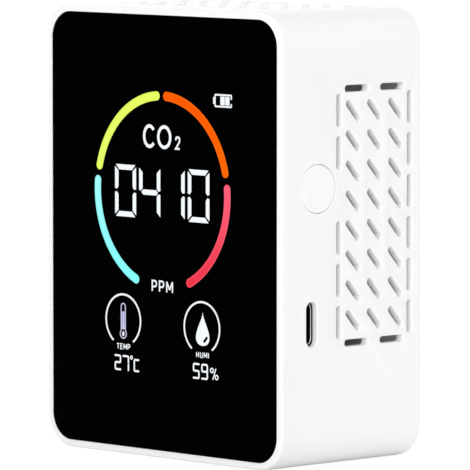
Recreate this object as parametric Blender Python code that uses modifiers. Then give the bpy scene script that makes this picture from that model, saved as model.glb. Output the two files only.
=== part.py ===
"""Desktop air quality monitor, as an assembly of its separate pieces.

The front faces -Y, the side with the power button and the charging socket faces +X,
and the body stands on Z = 0 with its footprint centred on the origin. Sizes are in metres.
"""

import math

import bmesh
import bpy
from mathutils import Matrix, Vector

# Body
BODY_WIDTH = 0.0700
BODY_DEPTH = 0.0396
BODY_HEIGHT = 0.0920
CORNER_RADIUS = 0.0070
WALL = 0.0020
FRONT_ROUND = 0.0011
REAR_ROUND = 0.0010
SEAT_GAP = 0.0003

# Front lens and its seat
RIM = 0.00155
LENS_GAP = 0.0002
LENS_SINK = 0.0001
LENS_THICKNESS = 0.0012
GASKET_INSET = 0.0005
GASKET_WIDTH = 0.0030
GASKET_THICKNESS = 0.0004
LEDGE_THICKNESS = 0.0016

# Circuit board and the display in front of it
BOARD_SIDE_CLEARANCE = 0.0015
BOARD_END_CLEARANCE = 0.0100
BOARD_THICKNESS = 0.0012
BOARD_SCREW_EDGE = 0.0034
BOSS_RADIUS = 0.0023
BOSS_FLOOR = 0.0006
FRAME_BORDER = 0.0015
FRAME_WALL = 0.0012
FRAME_END_MARGIN = 0.0015
FRAME_THICKNESS = 0.0019
GLASS_THICKNESS = 0.0020
STRIP_HEIGHT = 0.0020
STRIP_LENGTH = 0.0400

# Power button and the switch behind it
BUTTON_HEIGHT = 0.0565
BUTTON_DIAMETER = 0.0097
BUTTON_GAP = 0.00025
BUTTON_SINK = 0.0001
BUTTON_ROUND = 0.0003
BUTTON_TRAVEL = 0.0005
EAR_THICKNESS = 0.0008
EAR_WIDTH = 0.0060
EAR_REACH = 0.0015
STEM_DIAMETER = 0.0030
STEM_LENGTH = 0.0006
SWITCH_WIDTH = 0.0060
SWITCH_RISE = 0.0045
SWITCH_DEPTH = 0.0038
PLUNGER_DIAMETER = 0.0032
PLUNGER_LENGTH = 0.0020
PLUNGER_PROUD = 0.0007

# Charging socket
USB_HEIGHT = 0.0293
USB_RISE = 0.0008
USB_WEB = 0.0013
USB_SLOT_LENGTH = 0.0091
USB_SLOT_WIDTH = 0.0029
USB_SHELL_LENGTH = 0.00894
USB_SHELL_WIDTH = 0.00326
USB_SHELL_DEPTH = 0.0073
USB_SHEET = 0.0003
USB_END_FLAT = 0.00006
TONGUE_LENGTH = 0.0066
TONGUE_THICKNESS = 0.0007
TONGUE_DEPTH = 0.0045
TONGUE_BASE = 0.0015

# Grilles
SLOT_WIDTH = 0.0012
GRILLE_PITCH = 0.00605
GRILLE_ROWS = 8
SIDE_COLUMNS = 3
TOP_COLUMNS = 4
DIAGONAL_LENGTH = 0.0053
DIAGONAL_ANGLE = math.radians(48)
DASH_COUNT = 6
DASH_LENGTH = 0.0067
DASH_PITCH = 0.00856
DASH_MARGIN = 0.0010
END_SLOTS = 2
END_MARGIN = 0.0015
GRILLE_REAR_MARGIN = 0.0034
GRILLE_HEIGHT = 0.0506
VENT_KEEP = 0.0010

# Rear cover and its posts
COVER_THICKNESS = 0.0025
COVER_EDGE = 0.0022
COVER_FLOOR = 0.0010
POST_RADIUS = 0.0030
WEB_THICKNESS = 0.0012
WEB_BITE = 0.0005
REAR_HEAD_DIAMETER = 0.0044
REAR_HEAD_RISE = 0.0011
REAR_SHANK_DIAMETER = 0.0022
REAR_SHANK_LENGTH = 0.0090
BOARD_HEAD_DIAMETER = 0.0034
BOARD_HEAD_RISE = 0.0010
BOARD_SHANK_DIAMETER = 0.0017
BOARD_SHANK_LENGTH = 0.0042
PILOT_SPARE = 0.0006
HEAD_FLAT_SHARE = 0.8
HEAD_SIDE_SHARE = 0.7
CROSS_LENGTH = 0.0020
CROSS_WIDTH = 0.0005
CROSS_DEPTH = 0.0006

# Battery and its leads
CELL_WIDTH = 0.0340
CELL_HEIGHT = 0.0500
CELL_THICKNESS = 0.0060
CELL_ROUND = 0.0015
TAPE_THICKNESS = 0.0008
TAPE_INSET = 0.0040
BATTERY_SOCKET_AT = (-0.0180, 0.0220)
BATTERY_SOCKET_SIZE = (0.0080, 0.0040, 0.0060)
LEAD_DIAMETER = 0.0013
LEAD_SPACING = 0.0020
LEAD_LOOP = 0.0060
LEAD_POINTS = 18

# Chips and sensors: place from the middle of the board, then width, rise and height
MAIN_CHIP_AT = (-0.0100, -0.0060)
MAIN_CHIP_SIZE = (0.0100, 0.0014, 0.0100)
CHARGE_CHIP_AT = (0.0160, -0.0190)
CHARGE_CHIP_SIZE = (0.0050, 0.0015, 0.0040)
CLIMATE_EDGE = 0.0065
CLIMATE_RISE = 0.0230
CLIMATE_SIZE = (0.0030, 0.0011, 0.0030)
CO2_AT = (0.0100, 0.0000)
CO2_SIZE = (0.0220, 0.0070, 0.0140)
CO2_ROUND = 0.0012
FILTER_SIZE = (0.0100, 0.0006, 0.0060)

# Facets of round shapes
CORNER_STEPS = 8
ROUND_STEPS = 3
CIRCLE_STEPS = 24
SLOT_STEPS = 8
USB_STEPS = 4
SCREW_STEPS = 14
CUT_SPARE = 0.0010

# Planes that several pieces share, from front to rear
FRONT_Y = -BODY_DEPTH / 2
REAR_Y = BODY_DEPTH / 2
SIDE_X = BODY_WIDTH / 2
INNER_X = SIDE_X - WALL
MID_Z = BODY_HEIGHT / 2
LENS_Y = FRONT_Y + LENS_SINK
GASKET_Y = LENS_Y + LENS_THICKNESS + SEAT_GAP
LEDGE_Y = GASKET_Y + GASKET_THICKNESS + SEAT_GAP
LEDGE_BACK_Y = LEDGE_Y + LEDGE_THICKNESS
FRAME_Y = LEDGE_BACK_Y + SEAT_GAP
BOARD_Y = FRAME_Y + FRAME_THICKNESS + SEAT_GAP
BOARD_BACK_Y = BOARD_Y + BOARD_THICKNESS
PARTS_Y = BOARD_BACK_Y + SEAT_GAP
COVER_Y = REAR_Y - COVER_THICKNESS
POST_END_Y = COVER_Y - SEAT_GAP

# Half sizes of the pieces that nest in one another
BOARD_HALF_X = INNER_X - BOARD_SIDE_CLEARANCE
BOARD_HALF_Z = MID_Z - WALL - BOARD_END_CLEARANCE
BOSS_X = BOARD_HALF_X - BOARD_SCREW_EDGE
BOSS_Z = BOARD_HALF_Z - BOARD_SCREW_EDGE
FRAME_HALF_X = BOSS_X - BOSS_RADIUS - SEAT_GAP
FRAME_HALF_Z = BOARD_HALF_Z - FRAME_END_MARGIN
GLASS_HALF_X = FRAME_HALF_X - FRAME_BORDER
GLASS_HALF_Z = FRAME_HALF_Z - FRAME_BORDER
LIGHT_HALF_X = FRAME_HALF_X - FRAME_WALL - SEAT_GAP
LIGHT_HALF_Z = FRAME_HALF_Z - FRAME_WALL - SEAT_GAP

# Button and socket axes, and the planes along them
BUTTON_Y = PARTS_Y + SWITCH_RISE / 2
BUTTON_FACE_X = SIDE_X - BUTTON_SINK
EAR_X = INNER_X - SEAT_GAP
CAP_BACK_X = EAR_X - EAR_THICKNESS
STEM_END_X = CAP_BACK_X - STEM_LENGTH
PLUNGER_X = STEM_END_X - SEAT_GAP
SWITCH_X = PLUNGER_X - PLUNGER_PROUD
HOLE_RADIUS = BUTTON_DIAMETER / 2 + BUTTON_GAP
EAR_HALF = HOLE_RADIUS + EAR_REACH
USB_Y = BOARD_BACK_Y + USB_RISE
USB_MOUTH_X = SIDE_X - USB_WEB - SEAT_GAP
USB_REAR_X = USB_MOUTH_X - USB_SHELL_DEPTH

# Rear screws
COUNTERBORE_RADIUS = REAR_HEAD_DIAMETER / 2 + SEAT_GAP
POST_INSET = WALL + SEAT_GAP + COVER_EDGE + COUNTERBORE_RADIUS
POST_X = SIDE_X - POST_INSET
COUNTERBORE_Y = COVER_Y + COVER_FLOOR

# Local X, Y and Z of a flat outline, turned to face the front, the rear or the side
FACING_FRONT = Matrix(((1, 0, 0, 0), (0, 0, -1, 0), (0, 1, 0, 0), (0, 0, 0, 1)))
FACING_REAR = FACING_FRONT @ Matrix.Rotation(math.pi, 4, "X")
FACING_SIDE = Matrix(((0, 0, 1, 0), (1, 0, 0, 0), (0, 1, 0, 0), (0, 0, 0, 1)))


def clear_scene():
    for old in list(bpy.data.objects):
        bpy.data.objects.remove(old, do_unlink=True)


def add_collection(name):
    collection = bpy.data.collections.new(name)
    bpy.context.scene.collection.children.link(collection)
    return collection


clear_scene()
PARTS = add_collection("air_quality_monitor")
CUTTERS = add_collection("cutters")
ROOT = bpy.data.objects.new("monitor_root", None)
PARTS.objects.link(ROOT)


def plastic(name, color, roughness, metallic=0.0):
    """A Principled material; color is linear red, green and blue."""
    made = bpy.data.materials.new(name)
    made.use_nodes = True
    shader = made.node_tree.nodes["Principled BSDF"]
    shader.inputs["Base Color"].default_value = (*color, 1.0)
    shader.inputs["Roughness"].default_value = roughness
    shader.inputs["Metallic"].default_value = metallic
    return made


WHITE_SHELL = plastic("white_shell", (0.90, 0.90, 0.90), 0.42)
WHITE_CAP = plastic("white_cap", (0.91, 0.91, 0.91), 0.36)
BLACK_LENS = plastic("black_lens", (0.004, 0.004, 0.005), 0.06)
BLACK_FOAM = plastic("black_foam", (0.015, 0.015, 0.015), 0.9)
DARK_GLASS = plastic("dark_glass", (0.010, 0.010, 0.014), 0.08)
WHITE_FRAME = plastic("white_frame", (0.75, 0.75, 0.73), 0.6)
LIGHT_GUIDE = plastic("light_guide", (0.85, 0.88, 0.90), 0.25)
STRIP_RUBBER = plastic("strip_rubber", (0.55, 0.25, 0.35), 0.8)
BOARD_MASK = plastic("board_mask", (0.010, 0.085, 0.030), 0.45)
SOCKET_STEEL = plastic("socket_steel", (0.55, 0.55, 0.56), 0.28, 1.0)
BLACK_RESIN = plastic("black_resin", (0.012, 0.012, 0.012), 0.5)
SCREW_STEEL = plastic("screw_steel", (0.45, 0.45, 0.47), 0.35, 1.0)
SENSOR_GOLD = plastic("sensor_gold", (0.75, 0.52, 0.18), 0.3, 1.0)
FILTER_CLOTH = plastic("filter_cloth", (0.82, 0.82, 0.80), 0.9)
CELL_FOIL = plastic("cell_foil", (0.62, 0.63, 0.65), 0.4, 0.6)
TAPE_FOAM = plastic("tape_foam", (0.60, 0.60, 0.58), 0.95)
SOCKET_WHITE = plastic("socket_white", (0.80, 0.78, 0.72), 0.5)
LEAD_RED = plastic("lead_red", (0.55, 0.02, 0.02), 0.5)
LEAD_BLACK = plastic("lead_black", (0.012, 0.012, 0.012), 0.5)


def add_part(name, mesh, material, matrix=None):
    """Put a mesh into the assembly as one named piece."""
    part = bpy.data.objects.new(name, mesh)
    part.matrix_world = matrix or Matrix.Identity(4)
    part.parent = ROOT
    mesh.materials.clear()
    mesh.materials.append(material)
    mesh.shade_smooth()
    mesh.set_sharp_from_angle(angle=math.radians(35))
    PARTS.objects.link(part)
    return part


def add_cutter(name, mesh, matrix=None):
    """A shape that only cuts or joins: shown as wire and left out of the assembly."""
    cutter = bpy.data.objects.new(name, mesh)
    cutter.matrix_world = matrix or Matrix.Identity(4)
    cutter.display_type = "WIRE"
    cutter.hide_render = True
    CUTTERS.objects.link(cutter)
    return cutter


def boolean(part, cutter, operation):
    modifier = part.modifiers.new(f"{operation.lower()}_{cutter.name}", "BOOLEAN")
    modifier.operation = operation
    modifier.solver = "EXACT"
    modifier.object = cutter


def mesh_from(builder, name):
    """Run a function that fills a bmesh, and return the mesh it made."""
    shape = bmesh.new()
    builder(shape)
    bmesh.ops.recalc_face_normals(shape, faces=shape.faces)
    mesh = bpy.data.meshes.new(name)
    shape.to_mesh(mesh)
    shape.free()
    return mesh


def add_box(shape, low, high):
    """A plain box between two corners, into a bmesh. Returns its vertices."""
    low, high = Vector(low), Vector(high)
    made = bmesh.ops.create_cube(shape, size=1.0)["verts"]
    bmesh.ops.scale(shape, vec=high - low, verts=made)
    bmesh.ops.translate(shape, vec=(low + high) / 2, verts=made)
    return made


def box_mesh(name, low, high, round_radius=0.0):
    """A box between two corners, with all its edges rounded when a radius is given."""

    def build(shape):
        add_box(shape, low, high)
        if round_radius:
            bmesh.ops.bevel(
                shape, geom=shape.edges[:], offset=round_radius, segments=2,
                profile=0.5, affect="EDGES",
            )

    return mesh_from(build, name)


def rounded_box_mesh(name, half_x, half_z, y_low, y_high, radius, front_round=0.0, rear_round=0.0):
    """A box whose edges along Y are rounded, then its front and rear rims."""

    def edges_at(shape, y):
        return [e for e in shape.edges if all(abs(v.co.y - y) < SEAT_GAP / 100 for v in e.verts)]

    def build(shape):
        add_box(shape, (-half_x, y_low, MID_Z - half_z), (half_x, y_high, MID_Z + half_z))
        along = [e for e in shape.edges if abs(e.verts[0].co.y - e.verts[1].co.y) > SEAT_GAP / 100]
        bmesh.ops.bevel(
            shape, geom=along, offset=radius, segments=CORNER_STEPS, profile=0.5, affect="EDGES"
        )
        for y, rim_round in ((y_low, front_round), (y_high, rear_round)):
            if rim_round:
                bmesh.ops.bevel(
                    shape, geom=edges_at(shape, y), offset=rim_round, segments=ROUND_STEPS,
                    profile=0.5, affect="EDGES",
                )

    return mesh_from(build, name)


def add_cylinder(shape, low, length, radius, facing, steps=CIRCLE_STEPS):
    """A cylinder from the point low, running the given length along the facing's axis."""
    axis = facing.to_3x3() @ Vector((0, 0, 1))
    place = Matrix.Translation(Vector(low) + axis * length / 2) @ facing
    bmesh.ops.create_cone(
        shape, cap_ends=True, segments=steps, radius1=radius, radius2=radius, depth=length,
        matrix=place,
    )


def cylinders_mesh(name, lows, length, radius, facing, steps=CIRCLE_STEPS):
    """Equal cylinders at several places, as one mesh."""

    def build(shape):
        for low in lows:
            add_cylinder(shape, low, length, radius, facing, steps)

    return mesh_from(build, name)


def screw_holes_mesh(name, places, y_low, thickness, shank_diameter):
    """Cutter for clearance holes through a plate, at (x, z) places."""
    return cylinders_mesh(
        name, [(x, y_low - CUT_SPARE, z) for x, z in places], thickness + 2 * CUT_SPARE,
        shank_diameter / 2 + SEAT_GAP, FACING_REAR, SCREW_STEPS,
    )


def add_slot(shape, length, width, depth, place):
    """A round-ended slot along local X, made from a cylinder drawn apart at its middle."""
    half_step = math.pi / SLOT_STEPS
    reach = width / 2 / math.cos(half_step)
    made = bmesh.ops.create_cone(
        shape, cap_ends=True, segments=SLOT_STEPS, radius1=reach, radius2=reach, depth=depth,
        matrix=Matrix.Rotation(half_step, 4, "Z"),
    )["verts"]
    draw = (length - width) / 2
    for vertex in made:
        vertex.co.x += draw if vertex.co.x > 0 else -draw
    bmesh.ops.transform(shape, matrix=place, verts=made)


def rounded_rectangle(half_x, half_z, radius, steps=CORNER_STEPS, centre=(0.0, 0.0)):
    """Outline of a rectangle with round corners, anticlockwise."""
    points = []
    for turn, (sign_x, sign_z) in enumerate(((1, 1), (-1, 1), (-1, -1), (1, -1))):
        for step in range(steps + 1):
            angle = math.pi / 2 * (turn + step / steps)
            points.append((
                centre[0] + sign_x * (half_x - radius) + radius * math.cos(angle),
                centre[1] + sign_z * (half_z - radius) + radius * math.sin(angle),
            ))
    return points


def rectangle(low, high):
    return [(low[0], low[1]), (high[0], low[1]), (high[0], high[1]), (low[0], high[1])]


def welded_mesh(curve_object, name):
    """The mesh of a curve object with its loose caps welded on; the curve is removed."""
    bpy.context.scene.collection.objects.link(curve_object)
    bpy.context.view_layer.update()
    evaluated = curve_object.evaluated_get(bpy.context.evaluated_depsgraph_get())
    mesh = bpy.data.meshes.new_from_object(evaluated)
    mesh.name = name
    shape = bmesh.new()
    shape.from_mesh(mesh)
    bmesh.ops.remove_doubles(shape, verts=shape.verts, dist=SEAT_GAP / 1000)
    bmesh.ops.recalc_face_normals(shape, faces=shape.faces)
    shape.to_mesh(mesh)
    shape.free()
    bpy.data.objects.remove(curve_object, do_unlink=True)
    return mesh


def plate_mesh(name, outlines, thickness):
    """A flat plate in local X and Y: the first outline is its edge, the others are holes."""
    curve = bpy.data.curves.new(name, "CURVE")
    curve.dimensions = "2D"
    curve.fill_mode = "BOTH"
    curve.extrude = thickness / 2
    for outline in outlines:
        spline = curve.splines.new("POLY")
        spline.points.add(len(outline) - 1)
        for point, (x, y) in zip(spline.points, outline):
            point.co = (x, y, 0.0, 1.0)
        spline.use_cyclic_u = True
    return welded_mesh(bpy.data.objects.new(name, curve), name)


def front_plate(name, outlines, y_low, thickness, material):
    """A plate that faces the front, from y_low towards the rear."""
    place = Matrix.Translation((0, y_low + thickness / 2, 0)) @ FACING_FRONT
    return add_part(name, plate_mesh(name, outlines, thickness), material, place)


def on_four_corners(x, z_half):
    """Four points about the middle of the body: (x, z) pairs."""
    return [(sx * x, MID_Z + sz * z_half) for sx in (-1, 1) for sz in (-1, 1)]


def grille_slots(columns):
    """Slots of one grille as (across, along, angle, length), about the grille's centre.

    Rows of slanted slots fill the field. Dashes run down both long edges and short slots
    close both ends.
    """
    dash_across = columns * GRILLE_PITCH / 2 + DASH_MARGIN
    end_along = GRILLE_ROWS * GRILLE_PITCH / 2 + END_MARGIN
    slots = []
    for column in range(columns):
        across = (column - (columns - 1) / 2) * GRILLE_PITCH
        for row in range(GRILLE_ROWS):
            along = (row - (GRILLE_ROWS - 1) / 2) * GRILLE_PITCH
            slots.append((across, along, -DIAGONAL_ANGLE, DIAGONAL_LENGTH))
    for side in (-1, 1):
        for dash in range(DASH_COUNT):
            along = (dash - (DASH_COUNT - 1) / 2) * DASH_PITCH
            slots.append((side * dash_across, along, math.pi / 2, DASH_LENGTH))
        for slot in range(END_SLOTS):
            across = (slot - (END_SLOTS - 1) / 2) * 2 * dash_across / END_SLOTS
            slots.append((across, side * end_along, 0.0, DASH_LENGTH))
    return slots


def grille_centre_y(columns):
    """The rear row of dashes keeps the same margin to the rear face on every grille."""
    return REAR_Y - GRILLE_REAR_MARGIN - columns * GRILLE_PITCH / 2 - DASH_MARGIN


def clear_of_button(y, z, angle, length):
    """True where a slot leaves enough wall beside the button hole."""
    to_hole = Vector((BUTTON_Y - y, BUTTON_HEIGHT - z))
    along = Vector((math.cos(angle), math.sin(angle)))
    reach = (length - SLOT_WIDTH) / 2
    nearest = along * max(-reach, min(reach, to_hole.dot(along)))
    return (to_hole - nearest).length - HOLE_RADIUS - SLOT_WIDTH / 2 > VENT_KEEP


def side_grille_mesh(name, side):
    """Cutter for a side wall: 1 is the side with the button, -1 the plain one."""
    centre_y = grille_centre_y(SIDE_COLUMNS)
    depth = WALL + 2 * CUT_SPARE

    def build(shape):
        for across, along, angle, length in grille_slots(SIDE_COLUMNS):
            y, z = centre_y + across, GRILLE_HEIGHT + along
            if side > 0 and not clear_of_button(y, z, angle, length):
                continue
            place = Matrix.Translation((side * (SIDE_X - WALL / 2), y, z)) @ FACING_SIDE
            add_slot(shape, length, SLOT_WIDTH, depth, place @ Matrix.Rotation(angle, 4, "Z"))

    return mesh_from(build, name)


def top_grille_mesh(name):
    """Cutter for the top wall, with the grille's long edges along X."""
    centre_y = grille_centre_y(TOP_COLUMNS)
    depth = WALL + 2 * CUT_SPARE

    def build(shape):
        for across, along, angle, length in grille_slots(TOP_COLUMNS):
            place = Matrix.Translation((along, centre_y + across, BODY_HEIGHT - WALL / 2))
            turn = Matrix.Rotation(math.pi / 2 - angle, 4, "Z")
            add_slot(shape, length, SLOT_WIDTH, depth, place @ turn)

    return mesh_from(build, name)


def usb_outline(grow=0.0):
    """Round-ended outline of the charging socket's shell, in Y and Z about its centre."""
    half_y = USB_SHELL_WIDTH / 2 + grow
    half_z = USB_SHELL_LENGTH / 2 + grow
    return rounded_rectangle(half_y, half_z, half_y - USB_END_FLAT / 2, steps=USB_STEPS)


def side_plate_mesh(name, outlines, x_low, thickness, centre):
    """A plate that faces the side, with its outlines about a (y, z) centre."""
    mesh = plate_mesh(name, outlines, thickness)
    mesh.transform(Matrix.Translation((x_low + thickness / 2, *centre)) @ FACING_SIDE)
    return mesh


def make_housing():
    """White sleeve: rim, lens seat, four walls, posts and bosses, with all its openings."""
    body = rounded_box_mesh(
        "front_housing", SIDE_X, MID_Z, FRONT_Y, REAR_Y, CORNER_RADIUS, FRONT_ROUND, REAR_ROUND
    )
    housing = add_part("front_housing", body, WHITE_SHELL)

    recess = rounded_box_mesh(
        "lens_recess", SIDE_X - RIM, MID_Z - RIM, FRONT_Y - CUT_SPARE, LEDGE_Y, CORNER_RADIUS - RIM
    )
    boolean(housing, add_cutter("lens_recess", recess), "DIFFERENCE")
    cavity = rounded_box_mesh(
        "cavity", INNER_X, MID_Z - WALL, LEDGE_BACK_Y, REAR_Y + CUT_SPARE, CORNER_RADIUS - WALL
    )
    boolean(housing, add_cutter("cavity", cavity), "DIFFERENCE")
    window = box_mesh(
        "window",
        (-GLASS_HALF_X - SEAT_GAP, LEDGE_Y - CUT_SPARE, MID_Z - GLASS_HALF_Z - SEAT_GAP),
        (GLASS_HALF_X + SEAT_GAP, LEDGE_BACK_Y + CUT_SPARE, MID_Z + GLASS_HALF_Z + SEAT_GAP),
    )
    boolean(housing, add_cutter("window", window), "DIFFERENCE")

    root_y = LEDGE_Y + LEDGE_THICKNESS / 2
    post_length = POST_END_Y - root_y
    posts = on_four_corners(POST_X, MID_Z - POST_INSET)
    bosses = on_four_corners(BOSS_X, BOSS_Z)
    post_mesh = cylinders_mesh(
        "posts", [(x, root_y, z) for x, z in posts], post_length, POST_RADIUS, FACING_REAR
    )
    boolean(housing, add_cutter("posts", post_mesh), "UNION")

    def build_webs(shape):
        for x, z in posts:
            wall_x = math.copysign(INNER_X + WEB_BITE, x)
            low_x, high_x = sorted((x, wall_x))
            add_box(
                shape,
                (low_x, root_y, z - WEB_THICKNESS / 2),
                (high_x, POST_END_Y - CUT_SPARE, z + WEB_THICKNESS / 2),
            )

    boolean(housing, add_cutter("post_webs", mesh_from(build_webs, "post_webs")), "UNION")
    boss_length = BOARD_Y - SEAT_GAP - root_y
    boss_mesh = cylinders_mesh(
        "bosses", [(x, root_y, z) for x, z in bosses], boss_length, BOSS_RADIUS, FACING_REAR
    )
    boolean(housing, add_cutter("bosses", boss_mesh), "UNION")

    post_bore = REAR_SHANK_LENGTH - COVER_FLOOR - SEAT_GAP + PILOT_SPARE
    post_pilots = cylinders_mesh(
        "post_pilots", [(x, POST_END_Y - post_bore, z) for x, z in posts],
        post_bore + CUT_SPARE, REAR_SHANK_DIAMETER / 2 + SEAT_GAP, FACING_REAR, SCREW_STEPS,
    )
    boolean(housing, add_cutter("post_pilots", post_pilots), "DIFFERENCE")
    pilot_y = LEDGE_Y + BOSS_FLOOR
    boss_pilots = cylinders_mesh(
        "boss_pilots", [(x, pilot_y, z) for x, z in bosses],
        BOARD_Y - pilot_y + CUT_SPARE, BOARD_SHANK_DIAMETER / 2 + SEAT_GAP, FACING_REAR, SCREW_STEPS,
    )
    boolean(housing, add_cutter("boss_pilots", boss_pilots), "DIFFERENCE")

    button_hole = cylinders_mesh(
        "button_hole", [(INNER_X - CUT_SPARE, BUTTON_Y, BUTTON_HEIGHT)],
        WALL + 2 * CUT_SPARE, HOLE_RADIUS, FACING_SIDE, 2 * CIRCLE_STEPS,
    )
    boolean(housing, add_cutter("button_hole", button_hole), "DIFFERENCE")
    pocket_depth = WALL - USB_WEB + CUT_SPARE
    pocket = side_plate_mesh(
        "usb_pocket", [usb_outline(SEAT_GAP)], INNER_X - CUT_SPARE, pocket_depth, (USB_Y, USB_HEIGHT)
    )
    boolean(housing, add_cutter("usb_pocket", pocket), "DIFFERENCE")

    def build_usb_slot(shape):
        place = Matrix.Translation((SIDE_X - USB_WEB / 2, USB_Y, USB_HEIGHT)) @ FACING_SIDE
        upright = Matrix.Rotation(math.pi / 2, 4, "Z")
        add_slot(shape, USB_SLOT_LENGTH, USB_SLOT_WIDTH, USB_WEB + 2 * CUT_SPARE, place @ upright)

    boolean(housing, add_cutter("usb_slot", mesh_from(build_usb_slot, "usb_slot")), "DIFFERENCE")
    grilles = (
        ("button_side_grille", side_grille_mesh("button_side_grille", 1)),
        ("plain_side_grille", side_grille_mesh("plain_side_grille", -1)),
        ("top_grille", top_grille_mesh("top_grille")),
    )
    for name, mesh in grilles:
        boolean(housing, add_cutter(name, mesh), "DIFFERENCE")


def make_lens():
    """Black panel in the rim, and the adhesive ring behind it."""
    half_x = SIDE_X - RIM - LENS_GAP
    half_z = MID_Z - RIM - LENS_GAP
    radius = CORNER_RADIUS - RIM - LENS_GAP
    middle = (0.0, MID_Z)
    edge = rounded_rectangle(half_x, half_z, radius, centre=middle)
    front_plate("front_lens", [edge], LENS_Y, LENS_THICKNESS, BLACK_LENS)

    rings = []
    for inset in (GASKET_INSET, GASKET_INSET + GASKET_WIDTH):
        rings.append(rounded_rectangle(
            half_x - inset, half_z - inset, max(radius - inset, SEAT_GAP), centre=middle
        ))
    front_plate("lens_gasket", rings, GASKET_Y, GASKET_THICKNESS, BLACK_FOAM)


def make_display():
    """Glass in the window; behind it a frame with the light plate and the contact strip."""
    glass = box_mesh(
        "lcd_glass",
        (-GLASS_HALF_X, LEDGE_BACK_Y - GLASS_THICKNESS, MID_Z - GLASS_HALF_Z),
        (GLASS_HALF_X, LEDGE_BACK_Y, MID_Z + GLASS_HALF_Z),
    )
    add_part("lcd_glass", glass, DARK_GLASS)

    inner_x = FRAME_HALF_X - FRAME_WALL
    inner_z = FRAME_HALF_Z - FRAME_WALL
    outer = rectangle((-FRAME_HALF_X, MID_Z - FRAME_HALF_Z), (FRAME_HALF_X, MID_Z + FRAME_HALF_Z))
    inner = rectangle((-inner_x, MID_Z - inner_z), (inner_x, MID_Z + inner_z))
    front_plate("lcd_frame", [outer, inner], FRAME_Y, FRAME_THICKNESS, WHITE_FRAME)

    strip_low = MID_Z - LIGHT_HALF_Z
    strip_top = strip_low + STRIP_HEIGHT
    strip = box_mesh(
        "contact_strip",
        (-STRIP_LENGTH / 2, FRAME_Y, strip_low),
        (STRIP_LENGTH / 2, FRAME_Y + FRAME_THICKNESS, strip_top),
    )
    add_part("contact_strip", strip, STRIP_RUBBER)
    light = box_mesh(
        "light_plate",
        (-LIGHT_HALF_X, FRAME_Y, strip_top + SEAT_GAP),
        (LIGHT_HALF_X, FRAME_Y + FRAME_THICKNESS, MID_Z + LIGHT_HALF_Z),
    )
    add_part("light_plate", light, LIGHT_GUIDE)


def make_board():
    """Circuit board with screw holes, notched for the socket shell and for the button's ears."""
    plate = box_mesh(
        "main_board",
        (-BOARD_HALF_X, BOARD_Y, MID_Z - BOARD_HALF_Z),
        (BOARD_HALF_X, BOARD_BACK_Y, MID_Z + BOARD_HALF_Z),
    )
    board = add_part("main_board", plate, BOARD_MASK)
    holes = screw_holes_mesh(
        "board_holes", on_four_corners(BOSS_X, BOSS_Z), BOARD_Y, BOARD_THICKNESS, BOARD_SHANK_DIAMETER
    )
    boolean(board, add_cutter("board_holes", holes), "DIFFERENCE")

    notches = (
        ("socket_notch", USB_REAR_X - SEAT_GAP, USB_HEIGHT, USB_SHELL_LENGTH / 2 + SEAT_GAP),
        ("button_notch", SWITCH_X, BUTTON_HEIGHT, EAR_HALF + SEAT_GAP),
    )
    for name, low_x, z, half in notches:
        mesh = box_mesh(
            name, (low_x, BOARD_Y - CUT_SPARE, z - half), (INNER_X, PARTS_Y + CUT_SPARE, z + half)
        )
        boolean(board, add_cutter(name, mesh), "DIFFERENCE")


def make_button():
    """Round cap with two ears behind the wall and a stem that meets the switch plunger."""
    axis = Matrix.Translation((BUTTON_FACE_X, BUTTON_Y, BUTTON_HEIGHT))
    crown_length = BUTTON_FACE_X - CAP_BACK_X

    def build_crown(shape):
        add_cylinder(
            shape, (-crown_length, 0, 0), crown_length, BUTTON_DIAMETER / 2, FACING_SIDE,
            2 * CIRCLE_STEPS,
        )
        rim = [e for e in shape.edges if all(abs(v.co.x) < SEAT_GAP / 100 for v in e.verts)]
        bmesh.ops.bevel(
            shape, geom=rim, offset=BUTTON_ROUND, segments=2, profile=0.5, affect="EDGES"
        )

    button = add_part("power_button", mesh_from(build_crown, "power_button"), WHITE_CAP, axis)
    ears = box_mesh(
        "button_ears",
        (CAP_BACK_X, BUTTON_Y - EAR_WIDTH / 2, BUTTON_HEIGHT - EAR_HALF),
        (EAR_X, BUTTON_Y + EAR_WIDTH / 2, BUTTON_HEIGHT + EAR_HALF),
    )
    boolean(button, add_cutter("button_ears", ears), "UNION")
    stem = cylinders_mesh(
        "button_stem", [(STEM_END_X, BUTTON_Y, BUTTON_HEIGHT)],
        STEM_LENGTH + EAR_THICKNESS / 2, STEM_DIAMETER / 2, FACING_SIDE, SCREW_STEPS,
    )
    boolean(button, add_cutter("button_stem", stem), "UNION")

    plunger = cylinders_mesh(
        "switch_plunger", [(-PLUNGER_LENGTH, 0, 0)], PLUNGER_LENGTH, PLUNGER_DIAMETER / 2,
        FACING_SIDE, SCREW_STEPS,
    )
    place = Matrix.Translation((PLUNGER_X, BUTTON_Y, BUTTON_HEIGHT))
    add_part("switch_plunger", plunger, BLACK_RESIN, place)


def make_switch():
    """Side switch on the board; its bore leaves room for the plunger's travel."""
    body = box_mesh(
        "switch_body",
        (SWITCH_X - SWITCH_DEPTH, PARTS_Y, BUTTON_HEIGHT - SWITCH_WIDTH / 2),
        (SWITCH_X, PARTS_Y + SWITCH_RISE, BUTTON_HEIGHT + SWITCH_WIDTH / 2),
    )
    switch = add_part("switch_body", body, BLACK_RESIN)
    bore_depth = PLUNGER_LENGTH - PLUNGER_PROUD + BUTTON_TRAVEL + SEAT_GAP
    bore = cylinders_mesh(
        "switch_bore", [(SWITCH_X - bore_depth, BUTTON_Y, BUTTON_HEIGHT)],
        bore_depth + CUT_SPARE, PLUNGER_DIAMETER / 2 + SEAT_GAP, FACING_SIDE, SCREW_STEPS,
    )
    boolean(switch, add_cutter("switch_bore", bore), "DIFFERENCE")


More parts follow.
